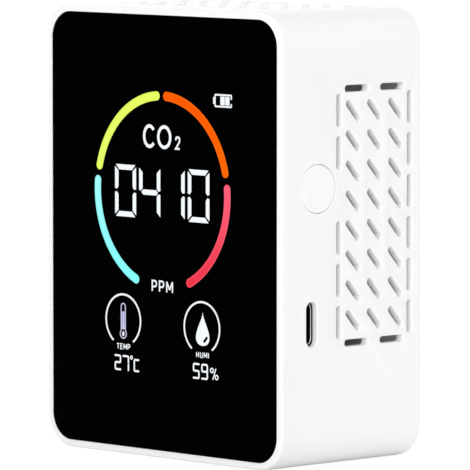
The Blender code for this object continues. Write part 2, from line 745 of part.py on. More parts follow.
def make_usb_socket():
    """Drawn steel shell, and the contact tongue on its base inside it."""
    centre = (USB_Y, USB_HEIGHT)
    shell = side_plate_mesh(
        "usb_shell", [usb_outline(), usb_outline(-USB_SHEET)], USB_REAR_X, USB_SHELL_DEPTH, centre
    )
    add_part("usb_shell", shell, SOCKET_STEEL)
    base = side_plate_mesh(
        "usb_tongue", [usb_outline(-USB_SHEET - SEAT_GAP)], USB_REAR_X, TONGUE_BASE, centre
    )
    tongue = add_part("usb_tongue", base, BLACK_RESIN)
    blade = box_mesh(
        "tongue_blade",
        (USB_REAR_X + TONGUE_BASE / 2, USB_Y - TONGUE_THICKNESS / 2, USB_HEIGHT - TONGUE_LENGTH / 2),
        (USB_REAR_X + TONGUE_BASE + TONGUE_DEPTH, USB_Y + TONGUE_THICKNESS / 2,
         USB_HEIGHT + TONGUE_LENGTH / 2),
    )
    boolean(tongue, add_cutter("tongue_blade", blade), "UNION")


def make_cover():
    """Plate that closes the back, counterbored for its screws."""
    edge = rounded_rectangle(
        INNER_X - SEAT_GAP, MID_Z - WALL - SEAT_GAP, CORNER_RADIUS - WALL - SEAT_GAP,
        centre=(0.0, MID_Z),
    )
    cover = front_plate("rear_cover", [edge], COVER_Y, COVER_THICKNESS, WHITE_SHELL)
    posts = on_four_corners(POST_X, MID_Z - POST_INSET)
    holes = screw_holes_mesh("cover_holes", posts, COVER_Y, COVER_THICKNESS, REAR_SHANK_DIAMETER)
    boolean(cover, add_cutter("cover_holes", holes), "DIFFERENCE")
    counterbores = cylinders_mesh(
        "counterbores", [(x, COUNTERBORE_Y, z) for x, z in posts],
        COVER_THICKNESS - COVER_FLOOR + CUT_SPARE, COUNTERBORE_RADIUS, FACING_REAR,
    )
    boolean(cover, add_cutter("counterbores", counterbores), "DIFFERENCE")


def screw_mesh(name, head_radius, head_rise, shank_radius, shank_length):
    """Pan-head screw turned about Z, head up, with the seat under its head at Z = 0."""
    profile = [
        (0.0, head_rise), (head_radius * HEAD_FLAT_SHARE, head_rise),
        (head_radius, head_rise * HEAD_SIDE_SHARE), (head_radius, 0.0),
        (shank_radius, 0.0), (shank_radius, -shank_length), (0.0, -shank_length),
    ]
    mesh = bpy.data.meshes.new(name)
    mesh.from_pydata([(r, 0.0, z) for r, z in profile], [(i, i + 1) for i in range(len(profile) - 1)], [])
    return mesh


def add_screw(name, seat, head_radius, head_rise, shank_radius, shank_length):
    """A screw whose head faces the rear, with a cross recess in it."""
    mesh = screw_mesh(name, head_radius, head_rise, shank_radius, shank_length)
    upright = Matrix.Translation(seat) @ Matrix.Rotation(-math.pi / 2, 4, "X")
    screw = add_part(name, mesh, SCREW_STEEL, upright)
    turned = screw.modifiers.new("turned", "SCREW")
    turned.axis = "Z"
    turned.steps = SCREW_STEPS
    turned.render_steps = SCREW_STEPS
    turned.use_merge_vertices = True
    turned.merge_threshold = SEAT_GAP / 100
    bar = box_mesh(
        f"{name}_cross",
        (-CROSS_LENGTH / 2, -CROSS_WIDTH / 2, head_rise - CROSS_DEPTH),
        (CROSS_LENGTH / 2, CROSS_WIDTH / 2, head_rise + CUT_SPARE),
    )
    for arm in range(2):
        turn = Matrix.Rotation(arm * math.pi / 2, 4, "Z")
        boolean(screw, add_cutter(f"{name}_cross_{arm + 1}", bar, upright @ turn), "DIFFERENCE")


def make_screws():
    """Four screws through the rear cover and four through the board."""
    for number, (x, z) in enumerate(on_four_corners(POST_X, MID_Z - POST_INSET), start=1):
        add_screw(
            f"rear_screw_{number}", (x, COUNTERBORE_Y + SEAT_GAP, z), REAR_HEAD_DIAMETER / 2,
            REAR_HEAD_RISE, REAR_SHANK_DIAMETER / 2, REAR_SHANK_LENGTH,
        )
    for number, (x, z) in enumerate(on_four_corners(BOSS_X, BOSS_Z), start=1):
        add_screw(
            f"board_screw_{number}", (x, PARTS_Y, z), BOARD_HEAD_DIAMETER / 2,
            BOARD_HEAD_RISE, BOARD_SHANK_DIAMETER / 2, BOARD_SHANK_LENGTH,
        )


def block_on_board(name, at, size, material, round_radius=0.0):
    """A block of (width, rise, height) on the rear of the board, placed from its middle."""
    width, rise, height = size
    x, z = at[0], MID_Z + at[1]
    mesh = box_mesh(
        name,
        (x - width / 2, PARTS_Y, z - height / 2),
        (x + width / 2, PARTS_Y + rise, z + height / 2),
        round_radius,
    )
    return add_part(name, mesh, material)


def make_chips():
    """Two chips, and the climate sensor near the board's edge beside the grille."""
    block_on_board("main_chip", MAIN_CHIP_AT, MAIN_CHIP_SIZE, BLACK_RESIN)
    block_on_board("charge_chip", CHARGE_CHIP_AT, CHARGE_CHIP_SIZE, BLACK_RESIN)
    climate_at = (BOARD_HALF_X - CLIMATE_EDGE, CLIMATE_RISE)
    block_on_board("climate_sensor", climate_at, CLIMATE_SIZE, BLACK_RESIN)


def make_gas_sensor():
    """Gas chamber on the board, with a filter let into its rear face."""
    chamber = block_on_board("co2_chamber", CO2_AT, CO2_SIZE, SENSOR_GOLD, CO2_ROUND)
    top_y = PARTS_Y + CO2_SIZE[1]
    half_x, thickness, half_z = FILTER_SIZE[0] / 2, FILTER_SIZE[1], FILTER_SIZE[2] / 2
    x, z = CO2_AT[0], MID_Z + CO2_AT[1]
    seat = box_mesh(
        "filter_seat",
        (x - half_x - SEAT_GAP, top_y - thickness - SEAT_GAP, z - half_z - SEAT_GAP),
        (x + half_x + SEAT_GAP, top_y + CUT_SPARE, z + half_z + SEAT_GAP),
    )
    boolean(chamber, add_cutter("filter_seat", seat), "DIFFERENCE")
    cloth = box_mesh(
        "co2_filter", (x - half_x, top_y - thickness, z - half_z), (x + half_x, top_y, z + half_z)
    )
    add_part("co2_filter", cloth, FILTER_CLOTH)


def lead_path(start, end, rise):
    """Points of a lead that leaves both ends upwards: a cubic curve with raised handles."""
    start, end = Vector(start), Vector(end)
    lift = Vector((0, 0, rise))
    points = []
    for step in range(LEAD_POINTS):
        t = step / (LEAD_POINTS - 1)
        points.append(
            start * (1 - t) ** 3 + (start + lift) * 3 * t * (1 - t) ** 2
            + (end + lift) * 3 * t ** 2 * (1 - t) + end * t ** 3
        )
    return points


def add_lead(name, points, material):
    curve = bpy.data.curves.new(name, "CURVE")
    curve.dimensions = "3D"
    curve.bevel_depth = LEAD_DIAMETER / 2
    curve.bevel_resolution = 2
    curve.use_fill_caps = True
    spline = curve.splines.new("POLY")
    spline.points.add(len(points) - 1)
    for point, place in zip(spline.points, points):
        point.co = (*place, 1.0)
    add_part(name, welded_mesh(bpy.data.objects.new(name, curve), name), material)


def make_battery():
    """Pouch cell taped to the rear cover, with two leads to a socket on the board."""
    tape_y = COVER_Y - SEAT_GAP - TAPE_THICKNESS
    cell_y = tape_y - SEAT_GAP - CELL_THICKNESS
    half_x, half_z = CELL_WIDTH / 2, CELL_HEIGHT / 2
    tape = box_mesh(
        "battery_tape",
        (-half_x + TAPE_INSET, tape_y, MID_Z - half_z + TAPE_INSET),
        (half_x - TAPE_INSET, tape_y + TAPE_THICKNESS, MID_Z + half_z - TAPE_INSET),
    )
    add_part("battery_tape", tape, TAPE_FOAM)
    cell = box_mesh(
        "battery_cell",
        (-half_x, cell_y, MID_Z - half_z),
        (half_x, cell_y + CELL_THICKNESS, MID_Z + half_z),
        CELL_ROUND,
    )
    add_part("battery_cell", cell, CELL_FOIL)

    block_on_board("battery_socket", BATTERY_SOCKET_AT, BATTERY_SOCKET_SIZE, SOCKET_WHITE)
    socket_x, socket_z = BATTERY_SOCKET_AT[0], MID_Z + BATTERY_SOCKET_AT[1]
    socket_top = socket_z + BATTERY_SOCKET_SIZE[2] / 2 + SEAT_GAP
    socket_y = PARTS_Y + BATTERY_SOCKET_SIZE[1] / 2
    cell_top = MID_Z + half_z + SEAT_GAP
    for name, side, material in (("red", -1, LEAD_RED), ("black", 1, LEAD_BLACK)):
        shift = side * LEAD_SPACING / 2
        start = (shift, cell_y + CELL_THICKNESS / 2, cell_top)
        end = (socket_x + shift, socket_y, socket_top)
        add_lead(f"battery_lead_{name}", lead_path(start, end, LEAD_LOOP), material)


make_housing()
make_lens()
make_display()
make_board()
make_button()
make_switch()
make_usb_socket()
make_cover()
make_screws()
make_chips()
make_gas_sensor()
make_battery()
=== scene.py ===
import math

import bmesh
import bpy
import numpy as np
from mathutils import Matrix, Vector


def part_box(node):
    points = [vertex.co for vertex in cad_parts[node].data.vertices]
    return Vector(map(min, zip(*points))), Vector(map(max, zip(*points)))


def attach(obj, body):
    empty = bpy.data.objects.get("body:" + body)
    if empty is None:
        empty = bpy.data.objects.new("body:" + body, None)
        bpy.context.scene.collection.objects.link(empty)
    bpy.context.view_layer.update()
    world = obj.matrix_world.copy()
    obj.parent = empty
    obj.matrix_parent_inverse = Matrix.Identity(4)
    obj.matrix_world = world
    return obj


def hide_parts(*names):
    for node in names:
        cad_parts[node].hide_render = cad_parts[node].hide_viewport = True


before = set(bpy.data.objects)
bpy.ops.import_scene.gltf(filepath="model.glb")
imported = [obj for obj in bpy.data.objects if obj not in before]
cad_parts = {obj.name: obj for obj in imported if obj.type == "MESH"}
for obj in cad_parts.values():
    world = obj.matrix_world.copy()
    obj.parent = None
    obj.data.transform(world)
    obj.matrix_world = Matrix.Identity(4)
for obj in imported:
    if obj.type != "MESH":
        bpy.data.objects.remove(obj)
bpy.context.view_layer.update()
mm = 0.001
print("frame loaded:", len(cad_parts), "nodes")


# Shapes

# Faces of a grid of points, rows by columns. Columns close on themselves, and rows where asked
def gridFaces(rows, columns, closeRows):
    here = np.arange(rows * columns).reshape(rows, columns)
    below = np.roll(here, -1, axis=0)
    quads = np.stack([here, below, np.roll(below, -1, axis=1), np.roll(here, -1, axis=1)], axis=-1)
    return quads[:rows if closeRows else rows - 1].reshape(-1, 4).tolist()


def quarterTurn(steps):
    return np.linspace(0.0, math.pi / 2, steps + 1)


# Places in a row at one pitch, about zero
def evenRow(count, pitch):
    return (np.arange(count) - (count - 1) / 2) * pitch


# Rectangle with round corners, anticlockwise. A corner is an arc, p = centre + r (cos a, sin a),
# and a holding point past each end of the arc keeps the flats shading flat
def roundedOutline(halfU, halfV, radius, steps, hold=0.0):
    turn = quarterTurn(steps)
    shift = np.zeros(steps + 1)
    if hold:
        turn = np.concatenate(([0.0], turn, [math.pi / 2]))
        shift = np.concatenate(([-hold], shift, [hold]))
    angle = np.arange(4)[:, None] * math.pi / 2 + turn
    signU = np.array([[1], [-1], [-1], [1]])
    signV = np.array([[1], [1], [-1], [-1]])
    u = signU * (halfU - radius) + radius * np.cos(angle) - shift * np.sin(angle)
    v = signV * (halfV - radius) + radius * np.sin(angle) + shift * np.cos(angle)
    points = np.stack([u.ravel(), v.ravel()], axis=1)
    step = np.linalg.norm(points - np.roll(points, 1, axis=0), axis=1)
    return points[step > 1e-9]


def circleOutline(radius, steps):
    return roundedOutline(radius, radius, radius, steps // 4)


# Moves every edge of an outline sideways by one unit at each point: (n1 + n2) / (1 + n1.n2)
def sideways(path, closed=True):
    edge = np.roll(path, -1, axis=0) - path
    edge = edge if closed else edge[:-1]
    normal = np.stack([-edge[:, 1], edge[:, 0]], axis=1) / np.linalg.norm(edge, axis=1, keepdims=True)
    before = np.roll(normal, 1, axis=0) if closed else np.concatenate([normal[:1], normal])
    after = normal if closed else np.concatenate([normal, normal[-1:]])
    return (before + after) / (1.0 + (before * after).sum(axis=1, keepdims=True))


# Block from a grid of flat places and their depths. Rows that don't close get a cap at each end
def gridBlock(flat, depth, closed):
    rows, columns = flat.shape[:2]
    points = np.concatenate([flat, np.broadcast_to(depth, (rows, columns, 1))], axis=2).reshape(-1, 3)
    caps = [list(range(columns)), list(range((rows - 1) * columns, rows * columns))]
    return points, gridFaces(rows, columns, closed) + ([] if closed else caps)


# Profile carried round a closed outline: P(i, j) = outline(i) + inset(j) * inward(i), at depth(j).
# A closed profile makes a tube wall, an open one gets a cap at each end
def sweptBlock(outline, profile, closed=False):
    inset, depth = np.asarray(profile, float).T
    flat = outline[None] + inset[:, None, None] * sideways(outline)[None]
    return gridBlock(flat, depth[:, None, None], closed)


# Quarter round from a face to a side: inset = size (1 - sin t), depth = face + inward size (1 - cos t)
def rimRound(size, face, inward, steps):
    turn = quarterTurn(steps)
    return np.stack([size * (1 - np.sin(turn)), face + inward * size * (1 - np.cos(turn))], axis=1)


# Profile of a block from its front face to its rear face: quarter rounds at both rims
def blockProfile(front, rear, frontRound, rearRound, steps, hold):
    sides = [[0.0, front + frontRound + hold], [0.0, rear - rearRound - hold]]
    rims = rimRound(frontRound, front, 1, steps), rimRound(rearRound, rear, -1, steps)
    return np.concatenate([rims[0], sides, rims[1][::-1]])


# Profile of a cut from its inner end out through a surface, flaring at the mouth as a quarter round.
# outside is 1 where depth grows outwards and -1 where it falls
def mouthProfile(inset, inner, surface, lip, outside, steps=3, spare=1.0 * mm):
    turn = quarterTurn(steps)
    flare = np.stack([inset - lip * (1 - np.cos(turn)), surface - outside * lip * (1 - np.sin(turn))], axis=1)
    return np.concatenate([[[inset, inner]], flare, [[inset - lip, surface + outside * spare]]])


# Rows say where a block's u, v and depth go
facingFront = np.array([[1, 0, 0], [0, 0, 1], [0, 1, 0]])
facingRight = np.array([[0, 1, 0], [0, 0, 1], [1, 0, 0]])
facingLeft = np.array([[0, 1, 0], [0, 0, 1], [-1, 0, 0]])
facingTop = np.array([[0, 1, 0], [1, 0, 0], [0, 0, 1]])


def placed(block, facing, origin=(0.0, 0.0, 0.0)):
    return block[0] @ facing + np.asarray(origin, float), block[1]


def swept(outline, profile, facing):
    return placed(sweptBlock(outline, profile), facing)


def turned(points, angle):
    return points @ np.array([[math.cos(angle), math.sin(angle)], [-math.sin(angle), math.cos(angle)]])


def joined(blocks):
    starts = np.cumsum([0] + [len(points) for points, faces in blocks])
    faces = [[int(start) + i for i in face] for start, block in zip(starts, blocks) for face in block[1]]
    return np.concatenate([points for points, faces in blocks]), faces


def addObject(name, data):
    made = bpy.data.objects.new(name, data)
    bpy.context.scene.collection.objects.link(made)
    return made


def meshObject(name, block):
    points, faces = block
    mesh = bpy.data.meshes.new(name)
    mesh.from_pydata(points.tolist(), [], faces)
    shape = bmesh.new()
    shape.from_mesh(mesh)
    bmesh.ops.recalc_face_normals(shape, faces=shape.faces)
    shape.to_mesh(mesh)
    shape.free()
    return addObject(name, mesh)


# Cuts a block out of a piece, or adds it, and keeps the result as the piece's mesh
def carve(piece, block, operation="DIFFERENCE"):
    tool = meshObject("tool", block)
    step = piece.modifiers.new("carve", "BOOLEAN")
    step.operation = operation
    step.solver = "EXACT"
    step.object = tool
    evaluated = piece.evaluated_get(bpy.context.evaluated_depsgraph_get())
    carved = bpy.data.meshes.new_from_object(evaluated)
    piece.modifiers.clear()
    worn = piece.data
    carved.name = piece.name
    piece.data = carved
    bpy.data.meshes.remove(worn)
    toolMesh = tool.data
    bpy.data.objects.remove(tool)
    bpy.data.meshes.remove(toolMesh)


# Last step of every piece: smooth shading between creases, finish, slot and the body that it rides on
def settle(piece, finishName, body="root", stands=(), crease=13.0):
    piece.data.materials.clear()
    piece.data.materials.append(finishes[finishName])
    piece.data.shade_smooth()
    piece.data.set_sharp_from_angle(angle=math.radians(crease))
    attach(piece, body)
    if stands:
        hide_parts(*stands)
    return piece


# Finishes

socketKinds = {"float": "NodeSocketFloat", "colour": "NodeSocketColor", "vector": "NodeSocketVector"}


def linear(red, green, blue):
    share = np.array([red, green, blue]) / 255.0
    value = np.where(share <= 0.04045, share / 12.92, ((share + 0.055) / 1.055) ** 2.4)
    return (*value.tolist(), 1.0)


def newGroup(name, inputs, outputs):
    group = bpy.data.node_groups.new(name, "ShaderNodeTree")
    for label, kind, *value in inputs:
        made = group.interface.new_socket(name=label, in_out="INPUT", socket_type=socketKinds[kind])
        if value:
            made.default_value = value[0]
    for label, kind in outputs:
        group.interface.new_socket(name=label, in_out="OUTPUT", socket_type=socketKinds[kind])
    return group, group.nodes.new("NodeGroupInput").outputs, group.nodes.new("NodeGroupOutput").inputs


# Gives each named socket a link, or else a fixed value
def feed(tree, sockets, values):
    for label, value in values.items():
        if isinstance(value, bpy.types.NodeSocket):
            tree.links.new(value, sockets[label])
        else:
            sockets[label].default_value = value


def addNode(tree, kind, values=None, **settings):
    node = tree.nodes.new(kind)
    for key, value in settings.items():
        setattr(node, key, value)
    feed(tree, node.inputs, values or {})
    return node


def mathNode(tree, operation, a, b=0.0):
    return addNode(tree, "ShaderNodeMath", {0: a, 1: b}, operation=operation).outputs[0]


def mixNode(tree, blend, factor, a, b):
    values = {0: factor, 6: a, 7: b}
    return addNode(tree, "ShaderNodeMix", values, data_type="RGBA", blend_type=blend).outputs[2]


def noiseNode(tree, vector, scale, detail):
    values = {"Vector": vector, "Scale": scale, "Detail": detail}
    return addNode(tree, "ShaderNodeTexNoise", values).outputs["Fac"]


# middle + value * spread
def swing(tree, middle, value, spread):
    return mathNode(tree, "ADD", mathNode(tree, "MULTIPLY", value, spread), middle)


# Colour times a grey tone
def toned(tree, colour, tone):
    grey = addNode(tree, "ShaderNodeCombineColor", {0: tone, 1: tone, 2: tone}).outputs[0]
    return mixNode(tree, "MULTIPLY", 1.0, colour, grey)


# Smooth rise along one axis, from 0 at low to 1 at high
def riseNode(tree, place, axis, low, high):
    along = addNode(tree, "ShaderNodeSeparateXYZ", {0: place}).outputs[axis]
    values = {"Value": along, "From Min": low, "From Max": high}
    return addNode(tree, "ShaderNodeMapRange", values, interpolation_type="SMOOTHSTEP").outputs[0]


# Skin: fine relief in the height, a drift of tone, and gloss that follows both. Moulded skin drifts slowly
# by a noise of its own. Worked metal drifts with its streaks, and its place is stretched along one way
def buildSkin(name, scale, detail, gloss, glossSpread, toneSpread, driftScale=None):
    group, given, wanted = newGroup(name, [
        ("Place", "vector"), ("Colour", "colour"), ("Grain Scale", "float", scale), ("Gloss", "float", gloss),
        ("Gloss Spread", "float", glossSpread), ("Tone Spread", "float", toneSpread),
    ], [("Base Color", "colour"), ("Roughness", "float"), ("Height", "float")])
    grain = noiseNode(group, given["Place"], given["Grain Scale"], detail)
    both = drift = mathNode(group, "SUBTRACT", grain, 0.5)
    if driftScale:
        drift = mathNode(group, "SUBTRACT", noiseNode(group, given["Place"], driftScale, 3.0), 0.5)
        both = mathNode(group, "ADD", both, drift)
    tone = swing(group, 1.0, drift, given["Tone Spread"])
    feed(group, wanted, {
        "Base Color": toned(group, given["Colour"], tone), "Height": grain,
        "Roughness": swing(group, given["Gloss"], both, given["Gloss Spread"]),
    })
    return group


# Foam and felt: open cells in the height, darker where a cell is deep
def buildFoamCells(shade=0.45):
    group, given, wanted = newGroup("foamCells", [
        ("Place", "vector"), ("Colour", "colour"), ("Cell Scale", "float", 4000.0),
    ], [("Base Color", "colour"), ("Height", "float")])
    values = {"Vector": given["Place"], "Scale": given["Cell Scale"]}
    cells = addNode(group, "ShaderNodeTexVoronoi", values).outputs
    feed(group, wanted, {
        "Base Color": mixNode(group, "MULTIPLY", shade, given["Colour"], cells["Color"]),
        "Height": mathNode(group, "SUBTRACT", 1.0, cells["Distance"]),
    })
    return group


diffuser = {"edgePower": 4.0, "grainScale": 5000.0, "dimmest": 0.97, "dimSpread": 0.05}


# Lit sign: colour from the middle of a stroke to its edge, drifting up the panel, with a fine diffuser grain
def buildLightSpread():
    group, given, wanted = newGroup("lightSpread", [
        ("Place", "vector"), ("Across", "float", 0.0), ("Low Colour", "colour"), ("High Colour", "colour"),
        ("Edge Colour", "colour"), ("Low", "float", 0.0), ("High", "float", 1.0), ("Edge Share", "float", 0.3),
    ], [("Emission Color", "colour")])
    rise = riseNode(group, given["Place"], "Z", given["Low"], given["High"])
    middle = mixNode(group, "MIX", rise, given["Low Colour"], given["High Colour"])
    nearEdge = mathNode(group, "POWER", mathNode(group, "ABSOLUTE", given["Across"]), diffuser["edgePower"])
    edge = mathNode(group, "MULTIPLY", nearEdge, given["Edge Share"])
    spread = mixNode(group, "MIX", edge, middle, given["Edge Colour"])
    grain = noiseNode(group, given["Place"], diffuser["grainScale"], 1.0)
    dim = swing(group, diffuser["dimmest"], grain, diffuser["dimSpread"])
    feed(group, wanted, {"Emission Color": toned(group, spread, dim)})
    return group


mouldGrain = buildSkin("mouldGrain", 9000.0, 2.0, 0.4, 0.1, 0.03, 60.0)
metalStreaks = buildSkin("metalStreaks", 4000.0, 3.0, 0.3, 0.15, 0.1)
foamCells = buildFoamCells()
lightSpread = buildLightSpread()


# Strength and depth of each pattern's relief
relief = {"grainDepth": 0.02 * mm, "streaks": (0.15, 0.01 * mm), "cells": (0.6, 0.05 * mm)}


# Material whose group reads the piece's own coordinates and feeds the shader's sockets of the same names
def newFinish(name, group, values, constants, bump=None, stretch=None):
    finish = bpy.data.materials.new(name)
    finish.use_nodes = True
    tree = finish.node_tree
    shader = tree.nodes["Principled BSDF"]
    place = addNode(tree, "ShaderNodeTexCoord").outputs["Object"]
    if stretch:
        place = addNode(tree, "ShaderNodeMapping", {"Vector": place, "Scale": stretch}).outputs["Vector"]
    pattern = addNode(tree, "ShaderNodeGroup", node_tree=group)
    feed(tree, pattern.inputs, {"Place": place, **values})
    feed(tree, shader.inputs, constants)
    feed(tree, shader.inputs, {made.name: made for made in pattern.outputs if made.name in shader.inputs})
    if bump:
        given = {"Strength": bump[0], "Distance": bump[1], "Height": pattern.outputs["Height"]}
        feed(tree, shader.inputs, {"Normal": addNode(tree, "ShaderNodeBump", given).outputs["Normal"]})
    return finish


def plasticFinish(name, colour, gloss, grainScale, strength, toneSpread=0.03, specular=0.5):
    values = {"Colour": (*colour, 1.0), "Grain Scale": grainScale, "Gloss": gloss, "Tone Spread": toneSpread}
    bump = (strength, relief["grainDepth"])
    return newFinish(name, mouldGrain, values, {"Specular IOR Level": specular}, bump)


def metalFinish(name, colour, gloss, stretch):
    values = {"Colour": (*colour, 1.0), "Gloss": gloss}
    return newFinish(name, metalStreaks, values, {"Metallic": 1.0}, relief["streaks"], stretch)


def foamFinish(name, colour, cellScale):
    values = {"Colour": (*colour, 1.0), "Cell Scale": cellScale}
    return newFinish(name, foamCells, values, {"Roughness": 0.9}, relief["cells"])


# Painted shade: the steel's colour stays bright near its mouth and darkens further in, standing in for the
# shade inside the socket
def paintShadeByDepth(finish, mouthX, litDepth=0.25 * mm, shadeDepth=0.6 * mm, shadeTint=(0.06, 0.06, 0.06, 1.0)):
    tree = finish.node_tree
    colour = tree.nodes["Principled BSDF"].inputs["Base Color"]
    place = addNode(tree, "ShaderNodeTexCoord").outputs["Object"]
    near = riseNode(tree, place, "X", mouthX - shadeDepth, mouthX - litDepth)
    bright = colour.links[0].from_socket
    # Painted shade colour: the steel's own colour times a dark grey
    dark = mixNode(tree, "MULTIPLY", 1.0, bright, shadeTint)
    tree.links.new(mixNode(tree, "MIX", near, dark, bright), colour)


# Lit piece: no colour of its own, light at strength 1, so that it shows as the colour that is written
def litFinish(name, low, high, edge, lowZ=0.0, highZ=1.0, edgeShare=0.3):
    values = {
        "Low Colour": linear(*low), "High Colour": linear(*high), "Edge Colour": linear(*edge),
        "Low": lowZ, "High": highZ, "Edge Share": edgeShare,
    }
    constants = {
        "Base Color": (0.0, 0.0, 0.0, 1.0), "Roughness": 0.1, "Specular IOR Level": 0.005,
        "Emission Strength": 1.0,
    }
    finish = newFinish(name, lightSpread, values, constants)
    tree = finish.node_tree
    across = addNode(tree, "ShaderNodeAttribute", attribute_name="across").outputs["Fac"]
    feed(tree, tree.nodes["Group"].inputs, {"Across": across})
    return finish


# Colour, gloss, grain scale, strength of the relief, and where they differ tone spread and specular
plastics = {
    "whiteShell": ((0.935, 0.935, 0.935), 0.55, 9000.0, 0.10, 0.015, 0.1),
    "whiteCap": ((0.945, 0.945, 0.945), 0.40, 12000.0, 0.07, 0.015),
    "blackLens": ((0.0004, 0.0004, 0.0005), 0.07, 3000.0, 0.01, 0.1, 0.002),
    "blackResin": ((0.012, 0.012, 0.012), 0.5, 9000.0, 0.3, 0.2),
    "frameWhite": ((0.75, 0.75, 0.73), 0.6, 7000.0, 0.3),
    "socketNylon": ((0.80, 0.78, 0.72), 0.5, 7000.0, 0.2),
    "redSleeve": ((0.55, 0.02, 0.02), 0.45, 6000.0, 0.1),
    "blackSleeve": ((0.012, 0.012, 0.012), 0.45, 6000.0, 0.1),
    "boardMask": ((0.02, 0.16, 0.06), 0.3, 3000.0, 0.15, 0.3),
    "stripRubber": ((0.30, 0.10, 0.14), 0.7, 5000.0, 0.3, 0.1),
    "displayGlass": ((0.004, 0.004, 0.006), 0.06, 2500.0, 0.02, 0.2),
    "lightGuide": ((0.72, 0.75, 0.78), 0.15, 2500.0, 0.1),
}
# Colour, gloss and how the streaks are stretched
metals = {
    "screwZinc": ((0.55, 0.55, 0.57), 0.32, (1.0, 0.05, 1.0)),
    "socketSteel": ((0.66, 0.66, 0.68), 0.25, (0.04, 1.0, 1.0)),
    "contactGold": ((0.80, 0.58, 0.22), 0.22, (0.05, 1.0, 1.0)),
    "sensorGold": ((0.75, 0.52, 0.18), 0.3, (1.0, 1.0, 0.06)),
    "cellFoil": ((0.62, 0.63, 0.65), 0.42, (1.0, 1.0, 0.1)),
}
# Colour and cell scale
foams = {
    "gasketFoam": ((0.02, 0.02, 0.02), 5000.0),
    "tapeFoam": ((0.60, 0.60, 0.58), 4000.0),
    "filterFelt": ((0.82, 0.82, 0.80), 7000.0),
}
finishes = {name: plasticFinish(name, *row) for name, row in plastics.items()}
finishes.update({name: metalFinish(name, *row) for name, row in metals.items()})
finishes.update({name: foamFinish(name, *row) for name, row in foams.items()})
# Painted shade in the charging socket: its steel darkens further in from the mouth
paintShadeByDepth(finishes["socketSteel"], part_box("usb_shell")[1].x)
print("finishes ready:", len(bpy.data.materials))


# Housing: one moulded sleeve with its rim, lens seat, posts and grilles

shell = {
    "corner": 7.0 * mm, "cornerSteps": 24, "wall": 2.0 * mm, "rim": 1.47 * mm,
    "frontRound": 0.55 * mm, "rearRound": 0.5 * mm, "roundSteps": 8, "lip": 0.06 * mm,
    "hold": 0.25 * mm, "seatGap": 0.3 * mm, "slotLip": 0.28 * mm, "holeLip": 0.1 * mm,
    "postRadius": 3.0 * mm, "postPilot": 1.4 * mm, "bossRadius": 2.3 * mm, "bossPilot": 1.15 * mm,
    "webHalf": 0.6 * mm, "pilotDepth": 8.3 * mm, "bossFloor": 0.6 * mm, "spare": 1.0 * mm,
}
grille = {
    "slotWidth": 1.2 * mm, "cutWidth": 1.34 * mm, "endWidth": 1.42 * mm, "slotSteps": 6,
    "pitch": 6.05 * mm, "rows": 8, "sideColumns": 3, "topColumns": 4,
    "slantLength": 5.3 * mm, "slantAngle": math.radians(-48), "dashCount": 6, "dashLength": 6.7 * mm,
    "dashPitch": 8.56 * mm, "dashMargin": 1.0 * mm, "endSlots": 2, "endMargin": 1.5 * mm,
    "rearMargin": 3.4 * mm, "height": 50.6 * mm, "buttonKeep": 1.0 * mm,
}


# Middle and half sizes of a box, seen along one axis
def middleOf(box, first, second):
    return tuple((box[0][axis] + box[1][axis]) / 2 for axis in (first, second))


def halfOf(box, first, second):
    return tuple((box[1][axis] - box[0][axis]) / 2 for axis in (first, second))


housingLow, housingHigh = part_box("front_housing")
frontY, rearY, sideX, topZ = housingLow.y, housingHigh.y, housingHigh.x, housingHigh.z
midZ = topZ / 2
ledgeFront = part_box("lens_gasket")[1].y + shell["seatGap"]
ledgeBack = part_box("lcd_glass")[1].y
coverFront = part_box("rear_cover")[0].y
buttonBox = buttonLow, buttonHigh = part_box("power_button")
buttonAt = middleOf(buttonBox, 1, 2)
button = {
    "radius": 4.85 * mm, "gap": 0.16 * mm, "holeGap": 0.25 * mm, "edge": 0.2 * mm, "flatGap": 0.02 * mm,
    "dishRadius": 3.1 * mm, "dishDepth": 0.08 * mm, "dishSoft": 1.3 * mm, "dishStart": 0.02, "rows": 28,
    "steps": 96, "collar": 0.11 * mm, "collarDepth": 0.4 * mm, "stemRadius": 1.5 * mm, "axisGap": 0.05 * mm,
    "earHalfY": 3.0 * mm, "earRound": 0.4 * mm, "earThick": 0.8 * mm, "earOverlap": 0.1 * mm,
}


# Slots of one grille as rows of across, along, angle and length about its centre:
# a field of slanted slots, dashes down both long edges and short slots across both ends
def grilleSlots(columns):
    edge = columns * grille["pitch"] / 2 + grille["dashMargin"]
    end = grille["rows"] * grille["pitch"] / 2 + grille["endMargin"]
    field = [evenRow(count, grille["pitch"]) for count in (columns, grille["rows"])]
    dashes = evenRow(grille["dashCount"], grille["dashPitch"])
    ends = evenRow(grille["endSlots"], 2 * edge / grille["endSlots"])
    sides = np.array([-1.0, 1.0])
    groups = (
        (*field, grille["slantAngle"], grille["slantLength"]),
        (sides * edge, dashes, math.pi / 2, grille["dashLength"]),
        (ends, sides * end, 0.0, grille["dashLength"]),
    )
    rows = []
    for acrossSet, alongSet, angle, length in groups:
        across, along = (part.ravel() for part in np.meshgrid(acrossSet, alongSet, indexing="ij"))
        count = across.size
        rows.append(np.stack([across, along, np.full(count, angle), np.full(count, length)], axis=1))
    return np.concatenate(rows)


# Slots that keep clear of the button: from its centre to a slot's centre line, less both half widths
def clearOfButton(slots, centre):
    away = np.array(buttonAt) - (slots[:, :2] + centre)
    along = np.stack([np.cos(slots[:, 2]), np.sin(slots[:, 2])], axis=1)
    reach = (slots[:, 3] - grille["slotWidth"]) / 2
    nearest = along * np.clip((away * along).sum(axis=1), -reach, reach)[:, None]
    taken = button["radius"] + button["holeGap"] + grille["slotWidth"] / 2
    room = np.linalg.norm(away - nearest, axis=1) - taken
    return slots[room > grille["buttonKeep"]]


